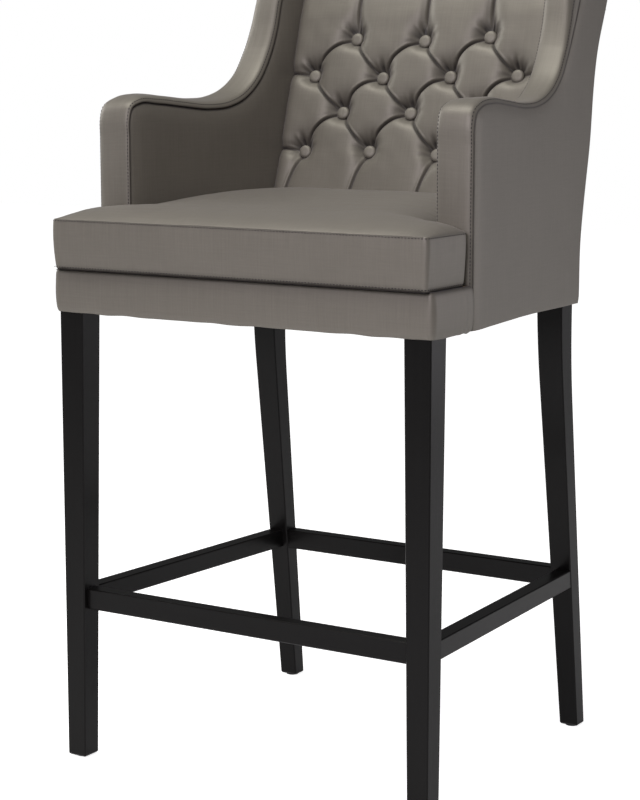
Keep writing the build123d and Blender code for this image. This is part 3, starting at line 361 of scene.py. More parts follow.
def steady(points, count):
    """A smooth line through given points, as evenly spaced places."""
    given = np.array(points, float) * mm
    steps = measured(given)
    slopes = np.gradient(given, steps, axis=0)
    fine = np.linspace(0, steps[-1], 1200)
    i = np.clip(np.searchsorted(steps, fine, "right") - 1, 0, len(steps) - 2)
    span = (steps[i + 1] - steps[i])[:, None]
    t = ((fine - steps[i])[:, None]) / span
    line = (
        (2 * t**3 - 3 * t**2 + 1) * given[i]
        + (t**3 - 2 * t**2 + t) * span * slopes[i]
        + (3 * t**2 - 2 * t**3) * given[i + 1]
        + (t**3 - t**2) * span * slopes[i + 1]
    )
    return evened(line, count)


def at(line, share):
    """Places on an evenly spaced line, by their share of its length."""
    spot = np.clip(share, 0, 1) * (len(line) - 1)
    places = np.arange(len(line))
    return np.stack([np.interp(spot, places, line[:, k]) for k in range(line.shape[1])], -1)


def away(points, line, chunk=4000):
    """Distance of each point from a line."""
    a, b = line[:-1], line[1:]
    run = b - a
    size = (run**2).sum(1) + 1e-12
    found = []
    for start in range(0, len(points), chunk):
        p = points[start:start + chunk, None, :] - a[None]
        t = np.clip((p * run).sum(2) / size, 0, 1)
        found.append(np.sqrt((((p - run * t[..., None]) ** 2).sum(2)).min(1)))
    return np.concatenate(found)


def falloff(distance, width, power=1):
    """1 at no distance, falling to nothing; the width is in mm."""
    return np.exp(-((distance / (width * mm)) ** power))


def outer_half(y):
    """Half width to the outer seam; the sides draw in towards the back."""
    draw = (half_width - back_half_width) / (rear_foot - outer_draw_start)
    return half_width - np.maximum(y - outer_draw_start, 0) * draw


def ripple(a, b, seed, wave):
    """A gentle unevenness made of a few crossing waves, from -1 to 1."""
    chance = np.random.default_rng(seed)
    spans = ((0, 6.28), (0, 6.28), (0.6, 1.7))
    turns, phases, stretches = (chance.uniform(*span, 7) for span in spans)
    total = 0
    for turn, phase, stretch in zip(turns, phases, stretches):
        across = a * math.cos(turn) + b * math.sin(turn)
        total = total + np.sin(across * 6.28 / wave * stretch + phase)
    return total / 7


def lay(mesh, points, seam_and_shade):
    """Puts the points of a net in their places and marks how dark its seams and its painted shade
    are.
    """
    mark = mesh.verts.layers.float.new("seam_and_shade")
    for vert, point, value in zip(mesh.verts, points.tolist(), np.clip(seam_and_shade, 0, 1).tolist()):
        vert.co = point
        vert[mark] = value


def quilt(name, columns, rows, shape, side=1, depth=2 * mm, spread=None, turned=1):
    """A piece of cloth as a net: shape gives its points, its weave, and its dark seams and painted
    shade from u and v.
    """
    mesh = bmesh.new()
    bmesh.ops.create_grid(mesh, x_segments=columns, y_segments=rows, size=0.5)
    mesh.verts.ensure_lookup_table()
    flat = np.array([v.co[:2] for v in mesh.verts]) + 0.5
    u, v = flat[:, 0], flat[:, 1]
    if spread:
        u, v = spread(u, v)
    points, weave, seam_and_shade = shape(u, v)
    points = points + np.array([0, front, 0])
    points[:, 0] *= side
    layer = mesh.loops.layers.uv.new("weave")
    lay(mesh, points, seam_and_shade)
    weave = weave.tolist()
    for face in mesh.faces:
        for loop in face.loops:
            loop[layer].uv = weave[loop.vert.index]
    if side * turned < 0:
        bmesh.ops.reverse_faces(mesh, faces=mesh.faces)
    mesh.normal_update()
    thicken(mesh, depth)
    return settle(name, mesh, upholstery)


def thicken(mesh, depth):
    """Gives a sheet a back, so that it is a closed body."""
    made = bmesh.ops.extrude_face_region(mesh, geom=mesh.faces[:], use_keep_orig=True)
    for vert in made["geom"]:
        if isinstance(vert, bmesh.types.BMVert):
            vert.co -= vert.normal * depth
    bmesh.ops.recalc_face_normals(mesh, faces=mesh.faces)


def settle(name, mesh, finish):
    """A finished mesh as a piece that rides on the stool."""
    for face in mesh.faces:
        face.smooth = True
    data = bpy.data.meshes.new(name)
    mesh.to_mesh(data)
    mesh.free()
    data.materials.append(finish)
    piece = bpy.data.objects.new(name, data)
    bpy.context.scene.collection.objects.link(piece)
    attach(piece, "root")
    return piece


def patch(left, right, foot, top, u, v):
    """A point inside four lines, blended from all of them."""
    l, r, f, t = at(left, v), at(right, v), at(foot, u), at(top, u)
    u, v = u[:, None], v[:, None]
    low = (1 - u) * foot[0] + u * foot[-1]
    high = (1 - u) * top[0] + u * top[-1]
    return (1 - v) * (f - low) + v * (t - high) + (1 - u) * l + u * r


outer_line = steady(outer_seam, 700)
crest_line = steady(outer_seam[5:], 600)
rear_line = steady(rear_corner, 300)
upright = steady(outer_seam[:6], 200)
hem_line = steady([outer_seam[0], (290, 647.5), (474, 645)] + rear_corner[:-1], 900)
cover_end = steady([rear_corner[-2], (579, 1087), (587, 1102), outer_seam[-1]], 100)


def outer_cover_shape(u, v):
    yz = patch(upright, cover_end, hem_line, crest_line, u, v)
    edge = away(yz, outer_line)
    back = away(yz, rear_line)
    y, z = yz[:, 0], yz[:, 1]
    low = falloff(z - hem, 6)
    puffed = 1.3 + 3.0 * (1 - falloff(edge, 9.5, 1.3)) + 0.4 * ripple(y, z, 3, 0.16)
    pulled = 3.0 * falloff(back, 3.5, 1.5) + 0.5 * falloff(edge, 1.2, 1.5) + 1.5 * low
    wavy = 0.2 * ripple(y, z, 4, 0.018) * falloff(edge, 9) + 0.6 * ripple(y, z * 0, 5, 0.05) * low
    x = outer_half(y) + (puffed - pulled + wavy) * mm
    seam_and_shade = 0.9 * falloff(edge, 1.0, 1.5) + 0.4 * falloff(back, 2)
    return np.stack([x, y, z], 1), yz, seam_and_shade


def closer(share):
    """Places along a side, drawn closer together towards both ends."""
    return share - 0.11 * np.sin(2 * math.pi * share)


def both_closer(u, v):
    return closer(u), closer(v)


for side, word in ((1, "right"), (-1, "left")):
    cover = quilt("outer_arm_cover_" + word, 260, 120, outer_cover_shape, side, 1.8 * mm, both_closer)
    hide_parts("arm_outer_cover_" + word)

# Boxing bands of the arms and wings
# A strip of the same cloth over wadding, domed between the outer and the inner seam. Its edges
# are topstitched with a dark thread a few millimetres inside each seam.
inner_seam = [
    (102, 700), (102, 760), (102, 820), (102, 880), (102.8, 910), (108.2, 923.5), (125.4, 930.6),
    (163, 929.5), (219.1, 924.6), (282, 920.1), (326.9, 923.1), (364, 935), (398.2, 960),
    (427, 1001), (442.1, 1037.1), (452.3, 1075.1), (464, 1109), (478.2, 1129.1), (505, 1140),
    (541.2, 1141.9), (580.5, 1123), (590.5, 1109.5),
]
band_outer = steady(outer_seam[1:], 900)
band_inner = steady(inner_seam, 900)
arm_front, inner_front_half, inner_draw = 100 * mm, 248 * mm, 0.06765
band_width, stitched_share = 48 * mm, 0.97
stitch_long, stitch_pitch, sewn_inset = 3.2 * mm, 4.8 * mm, 2.2 * mm
stitch_wide, stitch_thick = 1.35 * mm, 1.0 * mm
thread_dark, thread_light = (0.012, 0.010, 0.010), (0.028, 0.024, 0.022)


def heading(line, share, step=0.004):
    """The direction in which an evenly spaced line runs, by the share of its length."""
    run = at(line, share + step) - at(line, share - step)
    return run / np.linalg.norm(run, axis=-1, keepdims=True)


def long(line):
    """The length of a line."""
    return float(measured(line)[-1])


def eased(share):
    """A share from 0 to 1 that starts and ends gently."""
    share = np.clip(share, 0, 1)
    return share * share * (3 - 2 * share)


def inner_half(y):
    """Half width to the inner seam."""
    return inner_front_half - (y - arm_front) * inner_draw


def band_place(s, t, tall=False):
    """A place on the right band, or its height: s from seat to top, t from seam to seam."""
    a, b = at(band_outer, s), at(band_inner, s)
    outer = np.stack([outer_half(a[..., 0]) + 0.6 * mm, a[..., 0], a[..., 1]], -1)
    inner = np.stack([inner_half(b[..., 0]) - 1.0 * mm, b[..., 0], b[..., 1]], -1)
    run = heading(band_outer, s)
    out = np.stack([run[..., 0] * 0, -run[..., 1], run[..., 0]], -1)
    width = np.abs(2 * t - 1)
    dome = 0.86 * np.clip(1 - width**6, 0, 1) ** 0.6 + 0.14 * np.clip(1 - width**2, 0, 1)
    full = (4.2 + 5.8 * eased((s - 0.22) / 0.12)) * mm
    rise = full * (1 - 0.7 * np.clip((s - 0.93) / 0.07, 0, 1))
    rise = rise * (1 + 0.03 * ripple(s, t * 0.1, 8, 0.12))
    rise = rise + (1 - t) * np.maximum(((inner - outer) * out).sum(-1), 0)
    edge = np.minimum(t, 1 - t) * band_width
    sewn = 0.2 * falloff(edge - sewn_inset, 0.9, 2)
    pucker = 0.16 * ripple(s * 1.4, t * 0.02, 9, 0.012) * falloff(edge, 7)
    level = rise * dome + (pucker - sewn - 0.5 * falloff(edge, 0.6)) * mm
    if tall:
        return level
    return outer * (1 - t[..., None]) + inner * t[..., None] + out * level[..., None]


def band_shape(u, v):
    t = v - 0.145 * np.sin(2 * math.pi * v)
    points = band_place(u, t)
    edge = np.minimum(t, 1 - t) * band_width
    low = np.hypot(edge, np.maximum(band_place(u, t, True), 0))
    seam_and_shade = 0.8 * falloff(low, 1.1, 1.5) + 0.25 * falloff(edge - sewn_inset, 0.7, 2)
    return points, np.stack([t * 0.05, u * long(band_outer)], 1), seam_and_shade


spun = Finish("sewing_thread")
spun_place = spun.add("TexCoord", {}, {}, "Object")
spun_ply = spun.noise(spun_place, 1800.0)
thread = spun.end(
    Base_Color=spun.colours(spun_ply, thread_dark, thread_light),
    Roughness=0.55 + spun_ply * 0.2,
    Normal=spun.bump(spun_ply, 0.0002, 0.5),
)


def stitches(name, places, runs, ups):
    """A row of sewn stitches: each a short thread that dips into the cloth at both ends."""
    mesh = bmesh.new()
    for place, run, up in zip(places, runs, ups):
        along, lift = Vector(run).normalized(), Vector(up).normalized()
        turn = Matrix((along.cross(lift), lift, along)).transposed().to_4x4()
        made = bmesh.ops.create_uvsphere(mesh, u_segments=6, v_segments=4, radius=0.5)
        bmesh.ops.scale(mesh, vec=(stitch_wide, stitch_thick, stitch_long), verts=made["verts"])
        bmesh.ops.transform(mesh, matrix=Matrix.Translation(place) @ turn, verts=made["verts"])
    return settle(name, mesh, thread)


def sewn_line(name, surface, length, ends=1, side=1):
    """Stitches along a line on a surface, which gives a point and its neighbours from a share."""
    count = int(length / stitch_pitch)
    share = ends * (np.arange(count) + 0.5) / count
    step = ends * 0.5 / count
    points = surface(share, 0)
    along = surface(share + step, 0) - surface(share - step, 0)
    across = surface(share, 1) - points
    up = np.cross(along, across)
    up = up / np.linalg.norm(up, axis=1, keepdims=True)
    points = points + np.array([0, front, 0]) + up * 0.15 * mm
    for part in (points, along, up):
        part[:, 0] *= side
    return stitches(name, points.tolist(), along.tolist(), up.tolist())


def band_row(inner):
    """The sewn line inside one of the band's seams."""
    def surface(share, across):
        t = np.full_like(share, sewn_inset / band_width)
        return band_place(share, (1 - t if inner else t) + across * 0.01)
    return surface


for side, word in ((1, "right"), (-1, "left")):
    band = quilt("arm_boxing_band_" + word, 520, 36, band_shape, side, 1.5 * mm)
    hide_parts("arm_band_" + word)
    sewn_line("band_outer_stitches_" + word, band_row(False), long(band_outer), stitched_share, side)
    sewn_line("band_inner_stitches_" + word, band_row(True), long(band_inner), stitched_share, side)

# Inner arm pads
# Foam under the same cloth, from the seat to the inner seam and back to the buttoned back. It is
# sewn to the boxing band and tucked in behind the cushion and the back.
pad_seam = [(y + 1.6, z - 1.6) for y, z in inner_seam]
inner_crest = steady(pad_seam[4:], 600)
pad_corner, pad_rear = (103.6, 700), (545, 1030)
pad_front = steady([pad_corner, (103.6, 800), pad_seam[4]], 200)
pad_foot = steady(
    [pad_corner, (270, 700), (430, 700), (452, 712), (476, 800), (522, 960), pad_rear], 700
)
pad_end = steady([pad_rear, (570, 1080), pad_seam[-1]], 100)
inner_line = steady([pad_corner] + pad_seam[1:], 700)


def inner_pad_shape(u, v):
    yz = patch(pad_front, pad_end, pad_foot, inner_crest, u, v)
    edge = away(yz, inner_line)
    y, z = yz[:, 0], yz[:, 1]
    puffed = 4.5 * (1 - falloff(edge, 13, 1.2)) - 0.5 * ripple(y, z, 13, 0.13)
    wavy = 0.2 * ripple(y, z, 14, 0.02) * falloff(edge, 9) * (1 - falloff(edge, 3))
    x = inner_half(y) + (1.5 * falloff(edge, 2.0, 1.5) + wavy - puffed) * mm
    return np.stack([x, y, z], 1), yz, 0.9 * falloff(edge, 1.6, 1.5)


for side, word in ((1, "right"), (-1, "left")):
    pad = quilt("inner_arm_pad_" + word, 220, 100, inner_pad_shape, side, 4 * mm, both_closer, -1)
    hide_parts("arm_inner_pad_" + word)

# Buttoned back
# A thick foam slab under one sheet of cloth. The cloth is drawn down by covered buttons in
# staggered rows, and its spare width is folded into pleats that run from button to button.
# Each fold hangs over the puff below it.
lean = math.radians(14.7)
valley_height, valley_depth, roll_start = 900 * mm, 466 * mm, 1110 * mm
button_radius, button_top, button_foot, button_sink = 9.7 * mm, 3.8 * mm, 2.4 * mm, 4.0 * mm
row_pitch, button_pitch, top_row = 57 * mm, 115 * mm, 124.06 * mm
puff, foot_reach, crest_reach = 18.5 * mm, -150 * mm, 217 * mm
pleat_reach = 70 * mm


def valley(z):
    """Depth and height of a place on the plane that the buttons are drawn down to."""
    return np.array([valley_depth + (z - valley_height) * math.tan(lean), z])


def back_path():
    """The plane that the buttons are drawn down to, then the roll over the top of the back."""
    foot = valley(valley_height + foot_reach * math.cos(lean))
    roll = [(527, 1126), (537, 1138), (552, 1143.5), (568, 1139), (581, 1127), (589, 1112.5)]
    straight = np.linspace(foot / mm, valley(roll_start) / mm, 40)
    return steady(np.concatenate([straight, roll]), 900)


back_line = back_path()
back_long = long(back_line)
# How far each button sits from its even place, in mm sideways and upwards, from the top row down
hand_set = [
    [(2.9, 0), (6.4, -3.6), (0, 1.7)],
    [(-5.7, 0), (0, -3), (0, -1), (-5, 1.2)],
    [(-4.4, 0.7), (-1.5, 1), (-3, 0)],
    [(-5, -3), (-5.8, -1.2), (-5.8, -3.6), (-4, -2)],
]
button_rows = []
for number, moves in enumerate(hand_set):
    left = (1 - len(moves)) / 2 * button_pitch
    height = top_row - number * row_pitch
    row = [(left + k * button_pitch + dx * mm, height + ds * mm) for k, (dx, ds) in enumerate(moves)]
    button_rows.append(row)


def pleats():
    """Each fold as its ends, how far it bows, how deep it drops and how high its middle is."""
    found = []
    for upper, lower in zip(button_rows, button_rows[1:]):
        for x0, s0 in upper:
            for x1, s1 in lower:
                form = (11.5 * mm, 7.5 * mm, 0.82) if x1 < x0 else (-3.0 * mm, 4.2 * mm, 0.88)
                if abs(x1 - x0) < button_pitch * 0.6:
                    found.append(((x0, s0), (x1, s1), *form))
    for x, s in button_rows[0]:
        found.append(((x, s), (x + 5 * mm, crest_reach + 62 * mm), 1.5 * mm, 5.0 * mm, 0.80))
    for x, s in button_rows[3]:
        found.append(((x, s), (x - 26 * mm, foot_reach - 20 * mm), 6 * mm, 3.6 * mm, 0.86))
    for row in (button_rows[1], button_rows[3]):
        for (x, s), way in ((row[0], -1), (row[-1], 1)):
            found.append(((x, s), (x + way * 75 * mm, s + 4 * mm), 2 * mm, 4.5 * mm, 0.72))
    return found


def tufted(x, s):
    """Height of the cloth over the valley plane, and the shade painted into its folds and round its
    buttons, at places on the back.
    """
    height = np.ones_like(x)
    drop, rim, dark = np.zeros((3, len(x)))
    for (x0, s0), (x1, s1), bow, fall, middle in pleats():
        near = (x > min(x0, x1) - pleat_reach) & (x < max(x0, x1) + pleat_reach)
        near &= (s > min(s0, s1) - pleat_reach) & (s < max(s0, s1) + pleat_reach)
        run = np.array([x1 - x0, s1 - s0])
        size = np.linalg.norm(run)
        run = run / size
        up = np.array([-run[1], run[0]])
        up = up if up[1] > 0 else -up
        px, ps = x[near] - x0, s[near] - s0
        t = (px * run[0] + ps * run[1]) / size
        inside = np.clip(t, 0, 1)
        free = size > 2.2 * row_pitch or abs(run[1]) < 0.1
        share = inside / 2 if free else inside
        d = px * up[0] + ps * up[1] - bow * (1 - np.abs(2 * inside - 1) ** 2.3)
        beyond = np.maximum(np.maximum(-t, t - 1), 0) * size
        swell = np.sin(math.pi * share) ** 0.8
        ridge = middle * swell
        height[near] *= ridge + (1 - ridge) * (1 - falloff(np.hypot(d, beyond), 8, 1.3))
        over = np.sin(math.pi * share) ** 0.35 * falloff(beyond, 5, 2)
        fold_wide = np.where(d > 0, 1.1, 1.7)
        drop[near] = np.maximum(drop[near], fall * over * falloff(np.abs(d), fold_wide, 1.8))
        rim[near] = np.maximum(rim[near], 0.9 * mm * over * falloff(d - 3.4 * mm, 1.6, 2))
        # Painted shade along each fold's crevice
        depth = min(fall / (4.5 * mm), 1)
        line = 1.3 + 1.3 * depth * swell
        off = np.abs(d + 0.6 * (line - 1) * mm)
        dark[near] = np.maximum(dark[near], depth * over * falloff(off, line, 2.5))
    lift = height * puff - drop + rim
    for row_number, row in enumerate(button_rows):
        for number, (bx, bs) in enumerate(row):
            dx, ds = x - bx, s - bs
            r = np.hypot(dx, ds)
            angle = np.arctan2(ds, dx)
            upward = 0.5 + 0.5 * np.sin(angle - 0.15)
            pit = 8 + 13 * upward**2 + 3 * np.abs(np.cos(angle))
            lift = lift * (1 - falloff(r, pit, 1.7))
            phase = (row_number * 7 + number * 3) % 6
            fan = np.sin(8 * angle + phase) + 0.6 * np.sin(13 * angle + 2.1 * phase)
            lift = lift + 1.2 * mm * fan * falloff(r - 20 * mm, 8, 2) * upward**2
            # Painted shade in the pit above each button, streaked like its wrinkles, and a ring of
            # painted shade round the button
            painted_pit_shade = falloff(r - 11 * mm, 10, 2) * upward**1.9 * (1.05 - 0.45 * fan)
            dark = np.maximum(dark, np.maximum(painted_pit_shade, 0.95 * falloff(r, 11.6, 8)))
    return lift, dark


def back_shape(u, v):
    reach = u * back_long + foot_reach
    yz = at(back_line, u)
    run = heading(back_line, u)
    wide = inner_half(yz[:, 0]) - 0.4 * mm
    x = (2 * v - 1) * wide
    lift, dark = tufted(x, reach)
    fade = eased((reach - 150 * mm) / (95 * mm))
    lift = lift * (1 - fade) + (4 * mm + lift * 0.22) * fade
    side = wide - np.abs(x)
    lift = lift - 13 * mm * falloff(side, 7, 1.2) * (1 - 0.7 * fade)
    lift = lift + 0.5 * mm * ripple(x, reach, 21, 0.05)
    points = np.stack([x, yz[:, 0] - run[:, 1] * lift, yz[:, 1] + run[:, 0] * lift], 1)
    # Painted shade along both sides, in the gap beside the arm pads, fading towards the roll,
    # together with the painted shade of the folds and pits
    seam_and_shade = np.maximum(dark, 0.8 * falloff(side, 3) * (1 - 0.8 * fade))
    return points, np.stack([x, reach], 1), seam_and_shade


def place_button(mesh, x, s):
    """A covered button with a soft rim, pulled down into its pit."""
    made = bmesh.ops.create_uvsphere(mesh, u_segments=28, v_segments=18, radius=button_radius)
    verts = made["verts"]
    for vert in verts:
        r = math.hypot(vert.co.x, vert.co.y) / button_radius
        tall = button_top if vert.co.z > 0 else button_foot
        vert.co.z = tall * math.copysign(max(1 - r**4, 0) ** 0.5, vert.co.z)
    y, z = at(back_line, np.array([(s - foot_reach) / back_long]))[0]
    chance = math.sin(x * 900 + s * 1700)
    turn = Matrix.Rotation(0.16 + 0.08 * math.cos(x * 700), 4, "Z")
    turn = turn @ Matrix.Rotation(math.pi / 2 - lean + 0.07 * chance, 4, "X")
    turn = turn @ Matrix.Rotation(chance, 4, "Z")
    ahead, above = button_sink * math.cos(lean), button_sink * math.sin(lean)
    spot = Matrix.Translation((x, y - ahead + front, z + above))
    bmesh.ops.transform(mesh, matrix=spot @ turn, verts=verts)


back = quilt("buttoned_back", 400, 400, back_shape, depth=8 * mm, turned=-1)
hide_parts("back_cushion")

mesh = bmesh.new()
for row in button_rows:
    for bx, bs in row:
        place_button(mesh, bx, bs)
layer = mesh.loops.layers.uv.new("weave")
for face in mesh.faces:
    for loop in face.loops:
        loop[layer].uv = (loop.vert.co.x, loop.vert.co.z)
buttons = settle("covered_buttons", mesh, upholstery)
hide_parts("back_buttons")

# Outside back
# One plain panel of the cloth over wadding, from the hem up to the roll, blind sewn to the
# side covers at both corners.
panel_tall = 480 * mm


def outside_back_shape(u, v):
    yz = at(rear_line, v)
    run = heading(rear_line, v)
    wide = outer_half(yz[:, 0]) - 0.6 * mm
    x = (2 * u - 1) * wide
    side, top = wide - np.abs(x), (1 - v) * panel_tall
    puffed = 2.6 * (1 - falloff(side, 25)) + 0.7 * ripple(x, v, 31, 0.25)
    pulled = 3.0 * falloff(side, 3.5, 1.4) + 2.5 * falloff(top, 4, 1.4)
    rise = (puffed - pulled + 0.3 * ripple(x, v, 32, 0.02) * falloff(side, 10)) * mm
    points = np.stack([x, yz[:, 0] + run[:, 1] * rise, yz[:, 1] - run[:, 0] * rise], 1)
    return points, np.stack([x, v * panel_tall], 1), falloff(side, 1.8) + falloff(top, 2)


panel = quilt("outside_back_panel", 150, 110, outside_back_shape, spread=both_closer, turned=-1)
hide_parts("outside_back_cover")

# Seat cushion
# A boxed foam cushion with a T plan: two ears stand in front of the arms. The border swells a
# little, the top is crowned, and the border is topstitched under the seam between them.
seat_front, ear_rear, seat_rear = -11 * mm, 93.6 * mm, 415 * mm
ear_half, neck_half = 298 * mm, 247.4 * mm
front_corner, ear_corner, front_edge = 7 * mm, 9 * mm, 10 * mm
groove, seat_seam, outermost = 703 * mm, 773 * mm, 0.9999
border = seat_seam - groove


def neck_at(y):
    """Half width of the cushion between the arms, which come closer towards the back."""
    return neck_half - (y - ear_rear) * inner_draw


def seat_half(y):
    """Half width of the cushion at a place along its depth, with its rounded corners."""
    lead = np.clip((y - seat_front) / front_corner, 0, 1)
    wide = ear_half - front_corner * (1 - np.sqrt(1 - (1 - lead) ** 2))
    trail = np.clip((ear_rear - y) / ear_corner, 0, 1)
    rounded = wide - ear_corner * (1 - np.sqrt(1 - (1 - trail) ** 2))
    wide = np.where(y > ear_rear - ear_corner, rounded, wide)
    past = np.clip((y - ear_rear) / (1.2 * mm), 0, 1)
    return np.where(y > ear_rear, (ear_half - ear_corner) * (1 - past) + neck_at(y) * past, wide)


def front_bow(x, y):
    """How far the cushion's front lies behind its corners, which is most in the middle."""
    return 2.2 * mm * (1 - (x / ear_half) ** 2) * (1 - np.clip((y - seat_front) / (50 * mm), 0, 1))


around_front = seat_front + front_edge * (1 - np.cos(np.linspace(0.02, 1.57, 14)))
beside_ear = np.linspace(6 * mm, 84 * mm, 20)
around_ear = ear_rear - ear_corner + ear_corner * np.sin(np.linspace(0.05, 1.57, 12))
beside_seat = np.linspace(arm_front, seat_rear, 30)
seat_y = np.r_[seat_front, around_front, beside_ear, around_ear, ear_rear + 1.2 * mm, beside_seat]
seat_edge = np.stack([seat_half(seat_y), seat_y], 1)
seat_edge = np.concatenate([[(0, seat_front)], seat_edge, [(0, seat_rear)]])


def swollen(inside):
    """How much of its full height the cushion has, by the way in from one of its sides."""
    return 1 - falloff(np.maximum(inside, 0), 30, 0.9)


def seat_crown(x, y):
    """Height of the cushion's top over its seam, and the way in from its edge."""
    edge = away(np.stack([np.abs(x), y], 1), seat_edge)
    back_share = np.clip((y - seat_front) / (270 * mm), 0, 1)
    tall = 17 + 19 * (0.6 * back_share + 0.4 * eased(back_share))
    tall = tall - 5 * np.clip((y - 300 * mm) / (110 * mm), 0, 1) ** 2
    ear = swollen(2 * (ear_half - np.abs(x))) * swollen(2 * (ear_rear - y))
    neck = swollen(neck_at(np.maximum(y, ear_rear)) - np.abs(x))
    high = tall * swollen(y - seat_front) * swollen(seat_rear - y) * (1 - (1 - ear) * (1 - neck))
    crease = 0.75 * ripple(x * 0.3, y * 2.2, 41, 0.030) * falloff(y - 150 * mm, 140, 2)
    pull = 0.20 * ripple(x, y, 42, 0.016) * falloff(edge, 9)
    return (high + crease + pull + 0.9 * ripple(x, y, 43, 0.19)) * mm, edge


def seat_net(cube):
    """Places on the cushion for places on a cube, and how dark its seams and its painted shade are
    there.
    """
    a, b, c = cube.T
    spread = np.sign(a) * (1 - (1 - np.abs(a)) ** 1.35)
    knots = [-1, -0.86, -0.55, -0.42, -0.30, 1.0]
    stops = [seat_front, seat_front + front_edge, 78 * mm, ear_rear, 97 * mm, seat_rear]
    depth = np.interp(b, knots, stops)
    depth = np.where(b < knots[1], seat_front + front_edge * ((b + 1) / 0.14) ** 2, depth)
    neck = neck_at(np.maximum(depth, ear_rear))
    x = spread * neck + (seat_half(depth) - neck) * spread**9
    y = depth + front_bow(x, depth)
    top, edge = seat_crown(x, depth)
    rise = (c + 1) / 2
    rise = rise - 0.10 * np.sin(2 * math.pi * rise)
    under_seam, over_foot = (1 - rise) * border, rise * border
    swell = 2.0 * np.sin(math.pi * np.clip(rise, 0, 1)) ** 0.8 - 3.2 * (1 - rise)
    swell = swell - 0.6 * falloff(under_seam, 1.6) - 2.0 * falloff(over_foot, 1.8)
    swell = swell + 0.5 * ripple(x + y, rise * 0.07, 44, 0.05)
    swell = swell + 0.2 * ripple(x + y, rise * 0.01, 45, 0.013) * falloff(under_seam, 8)
    on_side, on_end, on_top = np.abs(cube.T) > outermost
    lead = np.clip(1 - (depth - seat_front) / front_edge, 0, 1)
    out = np.stack([np.sign(a) * on_side, np.sign(b) * on_end - 1.2 * lead * on_side], 1)
    size = np.linalg.norm(out, axis=1, keepdims=True)
    out = out / np.maximum(size, 1e-9)
    on_top = on_top & (c > 0)
    move = np.where((size[:, 0] > 0) & (c < outermost), swell, -0.6)[:, None] * out * mm
    foot = groove + 0.6 * mm
    z = np.where(on_top, seat_seam + top, foot + rise * (seat_seam - foot))
    points = np.stack([x + move[:, 0], y + move[:, 1], z], 1)
    # On top, painted shade near the arms and the back, behind the ears; on the border, dark lines at
    # the topstitching and the foot seam
    past_ear = np.clip((points[:, 1] - ear_rear - 2 * mm) / (14 * mm), 0, 1)
    sewn = 0.12 * falloff(under_seam - 1.0 * mm, 1.2, 2)
    border_seam = np.maximum(sewn, 0.9 * falloff(over_foot, 1.6))
    return points, np.where(on_top, 0.75 * falloff(edge, 26) * past_ear, border_seam)


def seat_body():
    """The cushion as one closed net, made out of a cube."""
    mesh = bmesh.new()
    bmesh.ops.create_cube(mesh, size=2)
    for axis, cuts in enumerate((149, 129, 21)):
        ring = [e for e in mesh.edges if abs(e.verts[0].co[axis] - e.verts[1].co[axis]) > 1.5]
        bmesh.ops.subdivide_edges(mesh, edges=ring, cuts=cuts, use_grid_fill=True)
    mesh.verts.ensure_lookup_table()
    points, seam_and_shade = seat_net(np.array([v.co for v in mesh.verts]))
    lay(mesh, points + np.array([0, front, 0]), seam_and_shade)
    layer = mesh.loops.layers.uv.new("weave")
    for face in mesh.faces:
        face.normal_update()
        way = max(range(3), key=lambda k: abs(face.normal[k]))
        pick = ((1, 2), (0, 2), (0, 1))[way]
        for loop in face.loops:
            loop[layer].uv = (loop.vert.co[pick[0]], loop.vert.co[pick[1]])
    return settle("seat_cushion_cover", mesh, upholstery)


seat = seat_body()
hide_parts("seat_cushion")

walk = seat_edge[1:-1][seat_edge[1:-1, 1] < ear_rear - 2 * mm]
walk = np.concatenate([walk[::-1] * [-1, 1], walk])
walk_run = measured(walk)


def seat_row(inset, height):
    """A sewn line round the front of the cushion's border, from ear to ear."""
    def place(spot):
        return np.stack([np.interp(spot, walk_run, walk[:, k]) for k in (0, 1)])

    def surface(share, across):
        spot = share * walk_run[-1]
        dx, dy = place(spot + 2 * mm) - place(spot - 2 * mm)
        inwards = np.stack([-dy, dx]) / np.hypot(dx, dy)
        x, y = place(spot) + inwards * (inset + across * mm)
        return np.stack([x, y + front_bow(x, y), np.full_like(x, height + across * mm)], 1)
    return surface


sewn_line("seat_top_stitches", seat_row(-0.2 * mm, seat_seam - 1.7 * mm), walk_run[-1])
sewn_line("seat_foot_stitches", seat_row(0.6 * mm, groove + 4.5 * mm), walk_run[-1])

# Front rail cover
# A strip of the cloth over the front rail, turned round both front corners and tucked behind
# the arm seams, where it gathers in soft folds. The hem is stapled underneath and waves a bit.
strip_corner, strip_straight, strip_end = 6 * mm, 290 * mm, arm_front + 3 * mm
strip_tall = groove - hem
corner_turns = np.linspace(0.15, 1.42, 9)
corner_x = half_width - strip_corner + strip_corner * np.cos(corner_turns)
corner_y = strip_corner - strip_corner * np.sin(corner_turns)
strip_line = np.concatenate([
    [(half_width, strip_end), (half_width, strip_corner)],
    np.stack([corner_x, corner_y], 1),
    [(half_width - strip_corner, 0)],
])
strip_line = np.concatenate([strip_line, strip_line[::-1] * [-1, 1]])
strip_long = long(strip_line)
strip_line = evened(strip_line, 1400)


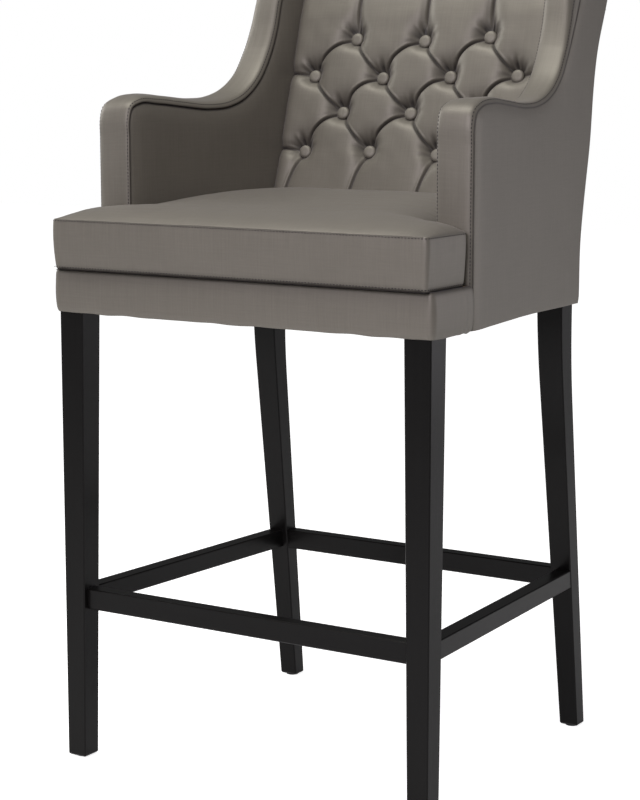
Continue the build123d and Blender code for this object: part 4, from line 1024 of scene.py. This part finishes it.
def rail_cover_shape(u, v):
    xy = at(strip_line, u)
    run = heading(strip_line, u, 0.002)
    out = np.stack([-run[:, 1], run[:, 0]], 1)
    out = np.where((xy * out).sum(1, keepdims=True) < 0, -out, out)
    out[np.abs(xy[:, 0]) < strip_straight] = (0, -1)
    place = np.minimum(u, 1 - u) * strip_long
    below_top, over_hem = (1 - v) * strip_tall, v * strip_tall
    gather = falloff(place - 8 * mm, 22, 2)
    fold = np.sin(place / (3.1 * mm) + 0.5 + 0.8 * v) + 0.6 * np.sin(place / (1.7 * mm) + 2.0 - v)
    mitre = falloff(place - strip_end, 2.6, 2) * np.clip(1.3 - (1 - v) * 4, 0, 1)
    rise = 2.6 * np.sin(math.pi * np.clip(v, 0, 1)) ** 0.7 - 2.4 * falloff(below_top, 1.9)
    rise = rise - 1.5 * falloff(over_hem, 3) + 0.6 * ripple(place, v * 0.05, 51, 0.16)
    rise = rise + 0.45 * gather * fold * (0.25 + 0.75 * (1 - v))
    rise = (rise + 1.1 * mitre - 2.2 * falloff(place, 1.8)) * mm
    droop = ripple(place, v * 0, 52, 0.07) + gather * np.sin(place / (3.1 * mm) + 0.5)
    z = hem + over_hem + (1 - v) * 0.9 * mm * droop
    points = np.stack([xy[:, 0] + out[:, 0] * rise, xy[:, 1] + out[:, 1] * rise, z], 1)
    seam_and_shade = 0.9 * falloff(below_top, 1.2) + 0.8 * falloff(place, 1.2)
    return points, np.stack([u * strip_long, over_hem], 1), seam_and_shade


def rows_closer(u, v):
    return u, closer(v)


strip = quilt("front_rail_strip", 460, 34, rail_cover_shape, depth=1.6 * mm, spread=rows_closer)
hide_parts("front_rail_cover")

# Dust cover
# A thin black cloth that closes the stool's underside. It is cut round the legs and stapled
# under the rails, and sags a little between them.
black_dark, black_light = (0.010, 0.010, 0.010), (0.022, 0.021, 0.020)
black_cloth = plain_finish("black_cloth", black_dark, black_light, 0.8, 0.0, 1400)
front_legs_deep, between_front_legs = 43 * mm, 256 * mm
back_legs_deep, between_back_legs = 36 * mm, 226 * mm
cut_back, dust_sag, dust_thick = 4 * mm, 3 * mm, 0.8 * mm
low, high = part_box("dust_cover")
mesh = bmesh.new()
bmesh.ops.create_grid(mesh, x_segments=60, y_segments=48, size=0.5)
for vert in mesh.verts:
    u, v = vert.co.x + 0.5, vert.co.y + 0.5
    y = low.y + v * (high.y - low.y)
    reach = min(float(outer_half(y - front)) - cut_back, high.x)
    if y < low.y + front_legs_deep:
        reach = min(reach, between_front_legs)
    if y > high.y - back_legs_deep:
        reach = min(reach, between_back_legs)
    sag = dust_sag * math.sin(math.pi * u) * math.sin(math.pi * v)
    vert.co = ((2 * u - 1) * reach, y, low.z - sag)
bmesh.ops.reverse_faces(mesh, faces=mesh.faces)
mesh.normal_update()
thicken(mesh, dust_thick)
dust = settle("dust_cloth", mesh, black_cloth)
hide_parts("dust_cover")
